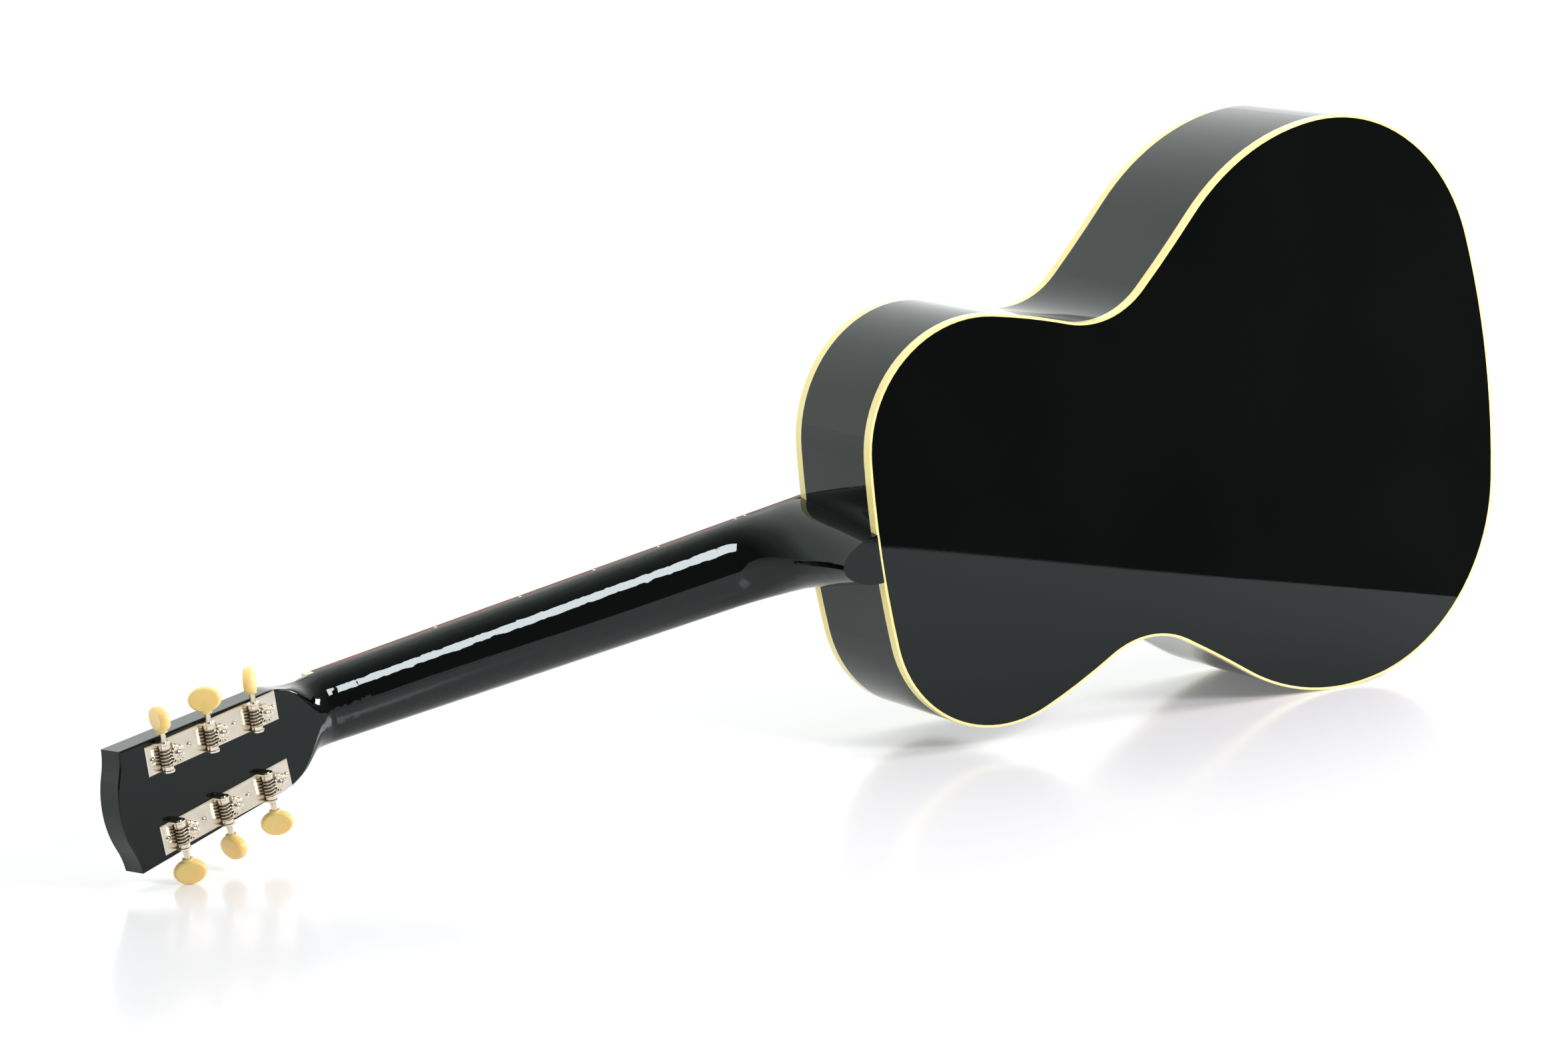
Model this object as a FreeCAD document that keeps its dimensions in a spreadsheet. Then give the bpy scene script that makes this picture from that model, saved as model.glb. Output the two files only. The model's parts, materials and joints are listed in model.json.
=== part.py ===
import FreeCAD, Part
import math
import os
import Sketcher
from FreeCAD import Placement, Rotation, Vector

# A small-bodied, 14-fret steel-string acoustic guitar, lying on its treble side.
#
# Every piece is drawn in the guitar's own frame: x runs along the centreline from the nut to
# the tail, y = 0 is the soundboard with +y out of it, and z points to the bass side. At the end
# one placement lays the whole instrument down on its ribs and on its lowest tuner knob.

doc = FreeCAD.newDocument("acoustic_guitar")
os.makedirs("parts", exist_ok=True)

# ---------------------------------------------------------------- sizes (millimetres, degrees)

SIZES = [
    ("scale_length", 628.65, "nut to saddle, before compensation (24.75 in)"),
    ("joint_fret", 14, "fret at which the neck meets the body"),
    ("body_length", 490.7, "body, neck end to tail, on the centreline"),
    ("neck_end_radius", 646.4, "outline: flat curve at the neck end"),
    ("neck_end_turn", 5.28, ""),
    ("shoulder_turn", 100.44, "outline: shoulder, its radius follows from the length"),
    ("flank_radius", 450.4, "outline: between shoulder and waist"),
    ("flank_turn", 7.14, ""),
    ("waist_radius", 58.4, "outline: waist, centre outside the body"),
    ("waist_turn", 59.21, ""),
    ("saddle_curve_radius", 997.2, "outline: nearly straight run behind the waist"),
    ("saddle_curve_turn", 3.34, ""),
    ("hip_front_radius", 160.0, "outline: front of the lower bout"),
    ("hip_front_turn", 43.05, ""),
    ("tail_radius", 595.1, "outline: flat curve at the tail"),
    ("tail_turn", 8.15, "outline: the hip turns by what is left of the half circle"),
    ("depth_neck_end", 78.5, "body depth on the centreline at the neck end"),
    ("depth_tail", 98.0, "body depth on the centreline at the tail"),
    ("dome_radius", 3500.0, "outside of the arched back"),
    ("top_thickness", 2.8, "spruce top"),
    ("back_thickness", 2.5, "back"),
    ("rib_thickness", 2.2, "sides"),
    ("binding_width", 1.6, "binding seen on the face"),
    ("binding_height", 6.0, "binding seen on the side"),
    ("lining_width", 5.0, "glue strips inside the corners"),
    ("lining_height", 14.0, ""),
    ("soundhole_radius", 50.8, "4 in soundhole"),
    ("soundhole_from_joint", 138.0, "neck joint to soundhole centre"),
    ("rosette_inner", 55.0, "rosette ring round the soundhole"),
    ("rosette_outer", 63.0, ""),
    ("rosette_depth", 1.0, ""),
    ("block_length", 50.0, "neck block along the body"),
    ("block_half_width", 34.0, ""),
    ("tail_block_length", 22.0, ""),
    ("tail_block_half_width", 36.0, ""),
    ("brace_width", 8.0, "top braces"),
    ("brace_height", 13.0, ""),
    ("brace_end_height", 3.5, "scalloped ends of the braces"),
    ("x_brace_from_hole", 28.0, "soundhole edge to the crossing of the X brace"),
    ("x_brace_angle", 49.0, "each leg from the centreline"),
    ("back_brace_width", 8.0, "ladder braces of the back"),
    ("back_brace_height", 14.0, ""),
    ("centre_strip_width", 16.0, "strip over the back's glue joint"),
    ("centre_strip_thickness", 2.0, ""),
    ("nut_width", 43.8, "neck width at the nut"),
    ("twelfth_fret_width", 54.0, "neck width at the 12th fret"),
    ("nut_length", 5.0, "nut along the neck"),
    ("nut_height", 8.6, ""),
    ("neck_depth_nut", 15.2, "neck without fingerboard at the nut"),
    ("neck_depth_body", 17.0, "neck without fingerboard before the heel"),
    ("heel_depth", 79.0, "heel cap below the soundboard plane, at the ribs"),
    ("heel_half_width", 15.2, "half width of the heel at the cap"),
    ("heel_length", 25.6, "heel cap along the neck"),
    ("heel_sweep", 66.0, "where the neck's back starts to turn into the heel, before the body"),
    ("heel_foot", 84.0, "depth at which the heel's front has turned square to the neck"),
    ("tenon_length", 18.0, "dovetail that locks the neck in its block"),
    ("tenon_half_width", 9.0, "dovetail at the body, it widens by a third inwards"),
    ("tenon_depth", 62.0, ""),
    ("board_edge", 5.2, "fingerboard thickness at its edges"),
    ("board_radius", 305.0, "crown of fingerboard and frets (12 in)"),
    ("fret_count", 20, ""),
    ("fret_width", 2.4, "fret crown"),
    ("fret_height", 1.1, ""),
    ("tang_width", 0.6, "fret tang in its slot"),
    ("tang_depth", 1.8, ""),
    ("dot_radius", 3.1, "position dots in the fingerboard"),
    ("side_dot_radius", 1.1, "position dots on the bass edge"),
    ("side_dot_height", 2.8, "side dots above the neck's top face"),
    ("rod_radius", 2.4, "truss rod"),
    ("rod_channel_width", 5.4, ""),
    ("rod_channel_depth", 11.4, ""),
    ("rod_nut_radius", 3.1, "corner radius of the truss rod's hexagon nut"),
    ("head_angle", 16.8, "headstock pitch"),
    ("head_wood", 13.4, "headstock wood thickness"),
    ("veneer", 1.6, "headstock face veneer"),
    ("head_shoulder_u", 40.5, "shoulder corner: distance from the nut along the headstock"),
    ("head_shoulder_w", 29.7, "shoulder corner: half width"),
    ("head_tip_u", 160.3, "tip corner: distance from the nut"),
    ("head_tip_w", 36.0, "tip corner: half width"),
    ("head_crown_u", 168.3, "middle of the tip's soft crown"),
    ("head_sweep_u", 163.4, "where the crown meets its concave shoulder"),
    ("head_sweep_w", 23.0, ""),
    ("head_edge_round", 1.0, "rounding of the headstock's back edges"),
    ("head_crown_hollow", 0.55, "depth of the concave shoulders beside the crown"),
    ("head_shoulder_round", 6.0, "rounding of the shoulder corner, each way along the edge"),
    ("sweep_start_u", 4.0, "where the neck starts to widen into the headstock"),
    ("tilt_run", 14.0, "run in which the neck's sections tilt to those of the headstock"),
    ("plate_length", 101.15, "three-on-a-plate tuner"),
    ("plate_width", 17.2, ""),
    ("plate_thickness", 0.9, ""),
    ("plate_bevel", 0.45, ""),
    ("plate_u", 92.7, "plate centre from the nut"),
    ("plate_w", 21.95, "plate centre from the centreline"),
    ("plate_splay", 1.63, "plates open towards the tip"),
    ("post_near", -37.2, "posts along the plate, from its centre: nearest the nut"),
    ("post_middle", -2.2, ""),
    ("post_far", 32.3, "nearest the tip"),
    ("post_radius", 3.0, "string post"),
    ("post_reach", 13.0, "post above the headstock face"),
    ("running_fit", 0.06, "radial play of post and worm shaft in their holes"),
    ("tooth_count", 15, "gear"),
    ("worm_pitch", 1.9, "single-start thread"),
    ("worm_pitch_radius", 2.7, ""),
    ("worm_crest_radius", 3.3, ""),
    ("worm_core_radius", 1.95, ""),
    ("worm_turns", 6, "turns of thread, the ends run into the collars"),
    ("collar_length", 2.4, "smooth collars of the worm"),
    ("shaft_radius", 1.8, "worm shaft"),
    ("gear_height", 4.5, "middle plane of gear and worm above the headstock"),
    ("gear_thickness", 4.0, ""),
    ("gear_bore_radius", 1.7, ""),
    ("gear_screw_radius", 2.9, "domed screw that holds the gear"),
    ("ear_thickness", 1.0, "bearings bent up from the plate"),
    ("ear_half_width", 3.6, ""),
    ("knob_offset", 22.2, "knob centre from the plate's centreline"),
    ("knob_half_width", 9.5, "oval button across the shaft"),
    ("knob_half_length", 7.3, "along the shaft"),
    ("knob_inner_half", 3.4, "half thickness at the shaft"),
    ("knob_outer_half", 2.5, "half thickness at the outer end"),
    ("knob_turn_1", 49.0, "rest angle of each button about its shaft"),
    ("knob_turn_2", 95.0, ""),
    ("knob_turn_3", 45.0, ""),
    ("knob_turn_4", 110.0, ""),
    ("knob_turn_5", 52.0, ""),
    ("knob_turn_6", 139.0, ""),
    ("string_spacing_nut", 7.2, ""),
    ("string_spacing_saddle", 10.9, ""),
    ("string_at_nut", 7.7, "underside of the strings above the soundboard plane, at the nut"),
    ("string_at_saddle", 12.4, "and at the saddle"),
    ("saddle_compensation", 2.4, "saddle beyond the scale length"),
    ("bridge_length", 152.0, "across the body"),
    ("bridge_width", 26.0, ""),
    ("bridge_offset", 4.0, "middle of the bridge behind the saddle"),
    ("bridge_height", 8.8, ""),
    ("bridge_wing_height", 3.6, ""),
    ("bridge_crown_half", 42.0, "half length of the bridge's full-height middle"),
    ("saddle_thickness", 2.6, ""),
    ("saddle_half_length", 36.0, ""),
    ("saddle_slot", 4.5, "depth of the saddle's slot"),
    ("pin_row", 13.0, "bridge pins behind the saddle"),
    ("pin_radius", 2.7, "bridge pin below its head"),
    ("pin_head_radius", 3.8, ""),
    ("pin_length", 22.0, ""),
    ("end_pin_radius", 3.6, "strap pin's shank"),
    ("end_pin_neck_radius", 3.9, ""),
    ("end_pin_head_radius", 7.0, ""),
    ("end_pin_reach", 11.0, "strap pin beyond the ribs"),
    ("guard_thickness", 1.2, "pickguard"),
]

sheet = doc.addObject("Spreadsheet::Sheet", "sizes")
for row, (alias, value, note) in enumerate(SIZES, start=1):
    sheet.set(f"A{row}", note)
    sheet.set(f"B{row}", str(value))
    sheet.setAlias(f"B{row}", alias)
doc.recompute()


def size(alias):
    return float(sheet.get(alias))


ORIGIN = Vector(0, 0, 0)
ALONG = Vector(1, 0, 0)
OUT = Vector(0, 1, 0)
BASS = Vector(0, 0, 1)

pieces = {}


def fret_x(number):
    """Distance from the nut to a fret, by the twelfth-root-of-two rule."""
    return size("scale_length") * (1 - 2 ** (-number / 12))


JOINT_X = fret_x(size("joint_fret"))
TAIL_X = JOINT_X + size("body_length")
HOLE_X = JOINT_X + size("soundhole_from_joint")
SADDLE_X = size("scale_length") + size("saddle_compensation")
PIN_X = SADDLE_X + size("pin_row")


def board_half_width(x):
    """Half width of fingerboard and neck at a distance from the nut."""
    slope = (size("twelfth_fret_width") - size("nut_width")) / fret_x(12)
    return (size("nut_width") + slope * x) / 2


def string_z(number, spacing):
    """Place of string 1 (thin, treble) to 6 (thick, bass) across the guitar."""
    return (number - 3.5) * size(spacing)


# ---------------------------------------------------------------- small helpers

def feature(name, shape, placement=None):
    """A piece whose form no sketch feature gives: its shape is set, then its placement."""
    piece = doc.addObject("Part::Feature", name)
    piece.Label = name
    piece.Shape = shape
    piece.Placement = placement or Placement()
    pieces[name] = piece
    return piece


def body_at(name, placement):
    body = doc.addObject("PartDesign::Body", name)
    body.Label = name
    body.Placement = placement
    pieces[name] = body
    return body


def origin_plane(body, role):
    return next(item for item in body.Origin.OriginFeatures if item.Role == role)


def profile(body, name, role, corners):
    """Closed polygon on an origin plane; each corner is a pair of sheet expressions."""
    sketch = body.newObject("Sketcher::SketchObject", name)
    sketch.AttachmentSupport = [(origin_plane(body, role), "")]
    sketch.MapMode = "FlatFace"
    count = len(corners)
    start = [Vector(10 * math.cos(2 * math.pi * k / count), 10 * math.sin(2 * math.pi * k / count), 0)
             for k in range(count)]
    for k in range(count):
        sketch.addGeometry(Part.LineSegment(start[k], start[(k + 1) % count]), False)
    for k in range(count):
        sketch.addConstraint(Sketcher.Constraint("Coincident", k, 2, (k + 1) % count, 1))
    for k, (across, up) in enumerate(corners):
        for kind, expression, value in (("DistanceX", across, start[k].x), ("DistanceY", up, start[k].y)):
            index = sketch.addConstraint(Sketcher.Constraint(kind, -1, 1, k, 1, value))
            sketch.setExpression(f"Constraints[{index}]", expression)
    return sketch


def rectangle(body, name, role, low, high):
    """Rectangle between two corners, each a pair of sheet expressions."""
    corners = [(low[0], low[1]), (high[0], low[1]), (high[0], high[1]), (low[0], high[1])]
    return profile(body, name, role, corners)


def circles(body, name, role, rings):
    """Circles on an origin plane; each ring is centre across, centre up and radius."""
    sketch = body.newObject("Sketcher::SketchObject", name)
    sketch.AttachmentSupport = [(origin_plane(body, role), "")]
    sketch.MapMode = "FlatFace"
    for ring, (across, up, radius) in enumerate(rings):
        sketch.addGeometry(Part.Circle(Vector(5 * ring + 3, 3, 0), Vector(0, 0, 1), 2), False)
        limits = [("Radius", (ring, 2), radius), ("DistanceX", (-1, 1, ring, 3, 3), across),
                  ("DistanceY", (-1, 1, ring, 3, 3), up)]
        for kind, arguments, expression in limits:
            index = sketch.addConstraint(Sketcher.Constraint(kind, *arguments))
            sketch.setExpression(f"Constraints[{index}]", expression)
    return sketch


def pad(body, sketch, name, length, midplane=False, reverse=False):
    solid = body.newObject("PartDesign::Pad", name)
    solid.Profile = sketch
    solid.setExpression("Length", length)
    solid.Midplane = midplane
    solid.Reversed = reverse
    return solid


def revolve(body, sketch, name, axis="V_Axis"):
    solid = body.newObject("PartDesign::Revolution", name)
    solid.Profile = sketch
    solid.ReferenceAxis = (sketch, [axis])
    solid.Angle = 360
    return solid


def pocket_through(body, sketch, name):
    """Cut right through the body, both ways from the sketch, and prove that it cut."""
    doc.recompute()
    before = body.Shape.Volume
    cut = body.newObject("PartDesign::Pocket", name)
    cut.Profile = sketch
    cut.Type = "ThroughAll"
    cut.Midplane = True
    doc.recompute()
    if body.Shape.Volume >= before:
        raise RuntimeError(f"{body.Label}: {name} cuts nothing")
    return cut


def box(x_low, x_high, y_low, y_high, z_low, z_high):
    return Part.makeBox(x_high - x_low, y_high - y_low, z_high - z_low, Vector(x_low, y_low, z_low))


def rod(radius, start, end):
    return Part.makeCylinder(radius, (end - start).Length, start, end - start)


def fuse_all(shapes):
    return shapes[0].multiFuse(shapes[1:]) if len(shapes) > 1 else shapes[0]


# ---------------------------------------------------------------- body outline and its offsets

def outline_arcs():
    """Radius and signed turn of each arc from the neck end to the tail, on the bass side.

    A positive turn has its centre outside the body. The shoulder and hip radii are solved so
    that the chain ends on the centreline, one body length from the neck end."""
    hip_turn = (180 + size("waist_turn") + size("saddle_curve_turn") - size("neck_end_turn")
                - size("shoulder_turn") - size("flank_turn") - size("hip_front_turn")
                - size("tail_turn"))
    arcs = [[size("neck_end_radius"), -size("neck_end_turn")], [None, -size("shoulder_turn")],
            [size("flank_radius"), -size("flank_turn")], [size("waist_radius"), size("waist_turn")],
            [size("saddle_curve_radius"), size("saddle_curve_turn")],
            [size("hip_front_radius"), -size("hip_front_turn")], [None, -hip_turn],
            [size("tail_radius"), -size("tail_turn")]]
    heading = math.pi / 2
    steps = []
    for radius, turn in arcs:
        after = heading + math.radians(turn)
        side = math.copysign(1, turn)
        steps.append((side * (math.sin(after) - math.sin(heading)),
                      side * (math.cos(heading) - math.cos(after))))
        heading = after
    left = [size("body_length"), 0.0]
    for (radius, turn), step in zip(arcs, steps):
        if radius is not None:
            left = [left[0] - radius * step[0], left[1] - radius * step[1]]
    shoulder, hip = steps[1], steps[6]
    area = shoulder[0] * hip[1] - shoulder[1] * hip[0]
    arcs[1][0] = (left[0] * hip[1] - left[1] * hip[0]) / area
    arcs[6][0] = (shoulder[0] * left[1] - shoulder[1] * left[0]) / area
    return arcs


def outline_face(inset):
    """The body's outline, moved inwards by inset, as a face in the soundboard plane."""
    heading = math.pi / 2
    point = Vector(JOINT_X + inset, 0, 0)
    bass = []
    treble = []
    for radius, turn in outline_arcs():
        side = math.copysign(1, turn)
        reach = radius + side * inset
        to_centre = Vector(-math.sin(heading), 0, math.cos(heading)) * side * reach
        centre = point + to_centre
        ends = []
        for part in (0, 0.5, 1):
            swing = heading + math.radians(turn) * part
            ends.append(centre - Vector(-math.sin(swing), 0, math.cos(swing)) * side * reach)
        flipped = [Vector(end.x, end.y, -end.z) for end in ends]
        bass.append(Part.Arc(*ends).toShape())
        treble.insert(0, Part.Arc(*reversed(flipped)).toShape())
        point = ends[2]
        heading += math.radians(turn)
    return Part.Face(Part.Wire(bass + treble))


def slab(inset, y_low, y_high):
    """The outline as a solid between two heights."""
    face = outline_face(inset)
    face.translate(Vector(0, y_low, 0))
    return face.extrude(Vector(0, y_high - y_low, 0))


def dome_centre():
    """Centre of the ball that arches the back: both ends of the centreline lie on the ball."""
    rise = size("depth_tail") - size("depth_neck_end")
    chord = math.hypot(size("body_length"), rise)
    middle = Vector((JOINT_X + TAIL_X) / 2, -(size("depth_tail") + size("depth_neck_end")) / 2, 0)
    drop = math.sqrt(size("dome_radius") ** 2 - (chord / 2) ** 2)
    return middle + Vector(rise, size("body_length"), 0).normalize() * drop


def dome(inset):
    """Ball whose lowest part is the arched back, moved inwards by inset."""
    return Part.makeSphere(size("dome_radius") - inset, dome_centre())


LOW = -size("depth_tail") - 40
TOP_INSIDE = -size("top_thickness")
BACK_INSIDE = size("back_thickness")
BINDING = size("binding_width")
RIB = size("rib_thickness")
LINING = RIB + size("lining_width")

OUTSIDE = slab(0, LOW, 0)
DOME_OUTSIDE = dome(0)
DOME_INSIDE = dome(BACK_INSIDE)
INTERIOR = slab(RIB, LOW, TOP_INSIDE).common(DOME_INSIDE)
CLEAR_OF_LININGS = slab(LINING, LOW, TOP_INSIDE)

# ---------------------------------------------------------------- neck block, tail block, tenon

tenon_half = size("tenon_half_width")
tenon_wide = tenon_half * 4 / 3
TENON = Part.Face(Part.makePolygon([
    Vector(JOINT_X - 2, TOP_INSIDE, -tenon_half), Vector(JOINT_X - 2, TOP_INSIDE, tenon_half),
    Vector(JOINT_X + size("tenon_length"), TOP_INSIDE, tenon_wide),
    Vector(JOINT_X + size("tenon_length"), TOP_INSIDE, -tenon_wide),
    Vector(JOINT_X - 2, TOP_INSIDE, -tenon_half)])).extrude(Vector(0, TOP_INSIDE - size("tenon_depth"), 0))
END_PIN_Y = -(size("depth_tail") + size("top_thickness")) / 2
END_PIN_BORE = rod(size("end_pin_radius"), Vector(TAIL_X - 40, END_PIN_Y, 0),
                   Vector(TAIL_X + 5, END_PIN_Y, 0))

block_half = size("block_half_width")
neck_block = box(JOINT_X, JOINT_X + size("block_length"), LOW, 0, -block_half, block_half).common(INTERIOR)
feature("neck_block", neck_block.cut(TENON))
tail_half = size("tail_block_half_width")
tail_block = box(TAIL_X - size("tail_block_length"), TAIL_X, LOW, 0, -tail_half, tail_half).common(INTERIOR)
feature("tail_block", tail_block.cut(END_PIN_BORE))
BLOCKS = neck_block.fuse(tail_block)

# ---------------------------------------------------------------- ribs, linings, binding, back

TOP_BINDING_RING = slab(0, -size("binding_height"), 0).cut(slab(BINDING, -size("binding_height"), 0))
BACK_BINDING_RING = (slab(0, LOW, 0).cut(slab(BINDING, LOW, 0))).common(DOME_OUTSIDE).cut(
    dome(size("binding_height")))
feature("top_binding", TOP_BINDING_RING.cut(TENON))
feature("back_binding", BACK_BINDING_RING)

rib_band = slab(0, LOW, TOP_INSIDE).cut(slab(RIB, LOW, TOP_INSIDE)).common(DOME_INSIDE)
rib_band = rib_band.cut(TOP_BINDING_RING).cut(BACK_BINDING_RING).cut(TENON).cut(END_PIN_BORE)
reach = size("body_length")
feature("rib_bass", rib_band.common(box(JOINT_X - 9, TAIL_X + 9, LOW, 9, 0, reach)))
feature("rib_treble", rib_band.common(box(JOINT_X - 9, TAIL_X + 9, LOW, 9, -reach, 0)))

lining_ring = slab(RIB, LOW, TOP_INSIDE).cut(slab(LINING, LOW, TOP_INSIDE)).cut(BLOCKS)
top_linings = lining_ring.common(slab(0, TOP_INSIDE - size("lining_height"), TOP_INSIDE))
feature("top_linings", top_linings)
back_linings = lining_ring.common(DOME_INSIDE).cut(dome(BACK_INSIDE + size("lining_height")))
feature("back_linings", back_linings)

back_plate = slab(BINDING, LOW, -size("depth_neck_end") / 2).common(DOME_OUTSIDE).cut(DOME_INSIDE)
feature("back_plate", back_plate)

# ---------------------------------------------------------------- top, rosette, braces

hole_axis = Vector(HOLE_X, -9, 0)
rosette_ring = Part.makeCylinder(size("rosette_outer"), size("rosette_depth"),
                                 Vector(HOLE_X, -size("rosette_depth"), 0), OUT)
rosette_ring = rosette_ring.cut(Part.makeCylinder(size("rosette_inner"), 9, hole_axis, OUT))
feature("rosette", rosette_ring)


def pin_axis(number):
    """Foot of a bridge pin's axis in the soundboard plane."""
    return Vector(PIN_X, 0, string_z(number, "string_spacing_saddle"))


PIN_BORES = fuse_all([rod(size("pin_radius"), pin_axis(k) - OUT * 30, pin_axis(k) + OUT * 30)
                      for k in range(1, 7)])
top_plate = slab(BINDING, TOP_INSIDE, 0).cut(rosette_ring).cut(PIN_BORES)
feature("top_plate", top_plate.cut(Part.makeCylinder(size("soundhole_radius"), 18, hole_axis, OUT)))


def top_brace(x, z, angle, length, height, taper):
    """Bar glued under the top, full height in the middle and scalloped at both ends."""
    half = length / 2
    end = size("brace_end_height")
    side_view = [(-half, 0), (half, 0), (half, -end), (half - taper, -height),
                 (taper - half, -height), (-half, -end), (-half, 0)]
    width = size("brace_width")
    bar = Part.Face(Part.makePolygon([Vector(a, b, -width / 2) for a, b in side_view]))
    bar = bar.extrude(BASS * width)
    bar.Placement = Placement(Vector(x, TOP_INSIDE, z), Rotation(OUT, -angle))
    return bar


x_centre = HOLE_X + size("soundhole_radius") + size("x_brace_from_hole")
x_angle = size("x_brace_angle")
x_brace = fuse_all([top_brace(x_centre, 0, turn, 2 * reach, size("brace_height"), 60)
                    for turn in (x_angle, -x_angle)])
x_brace = x_brace.common(CLEAR_OF_LININGS).cut(BLOCKS)
hole_clearance = Part.makeCylinder(size("soundhole_radius") + 6, 60, Vector(HOLE_X, -50, 0), OUT)
x_brace = x_brace.cut(hole_clearance)
feature("x_brace", x_brace)

BRIDGE_PLATE_HALF, BRIDGE_PLATE_REACH, BRIDGE_PLATE_THICKNESS = 19.0, 52.0, 2.5
plate_x = SADDLE_X + 5
plate_under = box(plate_x - BRIDGE_PLATE_HALF, plate_x + BRIDGE_PLATE_HALF,
                  TOP_INSIDE - BRIDGE_PLATE_THICKNESS, TOP_INSIDE, -BRIDGE_PLATE_REACH, BRIDGE_PLATE_REACH)
feature("bridge_plate", plate_under.cut(x_brace).cut(PIN_BORES))
bridge_plate_shape = pieces["bridge_plate"].Shape

# Place x and z, angle, length, height and scallop of each smaller bar under the top.
BAR_LAYOUT = [
    (JOINT_X + 72, 0, 90, 260, 13, 30),
    (HOLE_X, 72, 0, 70, 6, 20),
    (HOLE_X, -72, 0, 70, 6, 20),
    (x_centre + 110, -28, 62, 190, 10, 50),
    (x_centre + 165, -22, 62, 190, 10, 50),
    (x_centre + 45, 122, 68, 90, 7, 35),
    (x_centre + 45, -122, -68, 90, 7, 35),
]
bars = fuse_all([top_brace(*layout) for layout in BAR_LAYOUT])
bars = bars.common(CLEAR_OF_LININGS).cut(x_brace).cut(BLOCKS).cut(bridge_plate_shape)
feature("top_braces", bars.cut(hole_clearance))

back_inner_dome = dome(BACK_INSIDE + size("back_brace_height"))
BACK_BRACE_SHARES = [0.21, 0.42, 0.63, 0.83]
half_brace = size("back_brace_width") / 2
back_braces = []
for share in BACK_BRACE_SHARES:
    x = JOINT_X + share * size("body_length")
    bar = box(x - half_brace, x + half_brace, LOW, 0, -reach, reach)
    back_braces.append(bar.common(CLEAR_OF_LININGS).common(DOME_INSIDE).cut(back_inner_dome))
back_brace_group = Part.makeCompound(back_braces)
feature("back_braces", back_brace_group)

half_strip = size("centre_strip_width") / 2
strip = box(JOINT_X, TAIL_X, LOW, 0, -half_strip, half_strip).common(INTERIOR)
strip = strip.cut(dome(BACK_INSIDE + size("centre_strip_thickness"))).cut(BLOCKS)
feature("back_centre_strip", strip.cut(fuse_all(back_braces)).cut(lining_ring))

# ---------------------------------------------------------------- neck, heel and headstock

HEAD_ANGLE = math.radians(size("head_angle"))
TIPWARD = Vector(-math.cos(HEAD_ANGLE), -math.sin(HEAD_ANGLE), 0)
HEAD_BACK = Vector(math.sin(HEAD_ANGLE), -math.cos(HEAD_ANGLE), 0)
HEAD = Placement(Vector(0, -size("neck_depth_nut"), 0), Rotation(TIPWARD, -BASS, HEAD_BACK, "ZXY"))


def head_half_width(u):
    """Half width of the headstock's concave sweep, a distance u from the nut."""
    run = size("head_shoulder_u") - size("sweep_start_u")
    rise = size("head_shoulder_w") - size("nut_width") / 2
    radius = (run ** 2 + rise ** 2) / (2 * rise)
    past = max(0.0, u - size("sweep_start_u"))
    return size("nut_width") / 2 + radius - math.sqrt(radius ** 2 - past ** 2)


NECK_WALL = 20.0
CORNER_STEPS = 10
CORNER_PLACES = [k / CORNER_STEPS for k in range(CORNER_STEPS + 1)]
ENDS = [0.0, 1.0]
NEARLY_ALL = 0.998


def spline(points, places):
    curve = Part.BSplineCurve()
    curve.interpolate(Points=points, Parameters=places)
    return curve


def neck_section(top, down, depth, half, share=NEARLY_ALL, roundness=2.0):
    """Section of the neck's back, depth below the point top, its walls carried on above it.

    A share of 1 rounds the whole back and a share of 0 leaves a flat back with rounded edges;
    roundness 2 makes the corners quarters of an ellipse, less makes them more pointed."""
    least = size("head_edge_round")
    side, deep = (least + share * (whole - least) for whole in (half, depth))
    corner = []
    for k in range(CORNER_STEPS + 1):
        swing = math.pi / 2 * k / CORNER_STEPS
        across = half - side * (1 - abs(math.cos(swing)) ** (2 / roundness))
        corner.append((across, depth - deep * (1 - math.sin(swing) ** (2 / roundness))))
    bass = [top + BASS * across + down * below for across, below in corner]
    treble = [top - BASS * across + down * below for across, below in reversed(corner)]
    bass_wall, treble_wall = (top + BASS * end - down * NECK_WALL for end in (half, -half))
    return [spline(bass, CORNER_PLACES), spline([bass[-1], treble[0]], ENDS),
            spline(treble, CORNER_PLACES), spline([treble[-1], treble_wall], ENDS),
            spline([treble_wall, bass_wall], ENDS), spline([bass_wall, bass[0]], ENDS)]


def skin(sections, places):
    """Smooth faces through sections of one form, which stand at the given places in a row."""
    faces = []
    for strip in zip(*sections):
        rows = [spline([curve.getPole(index + 1) for curve in strip], places)
                for index in range(strip[0].NbPoles)]
        surface = Part.BSplineSurface()
        surface.buildFromPolesMultsKnots(
            [row.getPoles() for row in rows], strip[0].getMultiplicities(), rows[0].getMultiplicities(),
            strip[0].getKnots(), rows[0].getKnots(), False, False, strip[0].Degree, rows[0].Degree)
        faces.append(surface.toShape())
    return faces


def section_face(section):
    return Part.Face(Part.Wire([curve.toShape() for curve in section]))


def shaft_depth(x):
    slope = (size("neck_depth_body") - size("neck_depth_nut")) / JOINT_X
    return size("neck_depth_nut") + slope * x


def shaft_section(x):
    return neck_section(Vector(x, 0, 0), -OUT, shaft_depth(x), board_half_width(x))


def head_section(back_u, share):
    """Section behind the nut, tilting with the distance along the headstock's flat back."""
    tilt = HEAD_ANGLE * min(1.0, back_u / size("tilt_run"))
    down = Vector(math.sin(tilt), -math.cos(tilt), 0)
    back = HEAD.multVec(Vector(back_u, 0, 0))
    depth = -back.y / math.cos(tilt)
    return neck_section(back - down * depth, down, depth, head_half_width(back_u), share)


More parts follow.
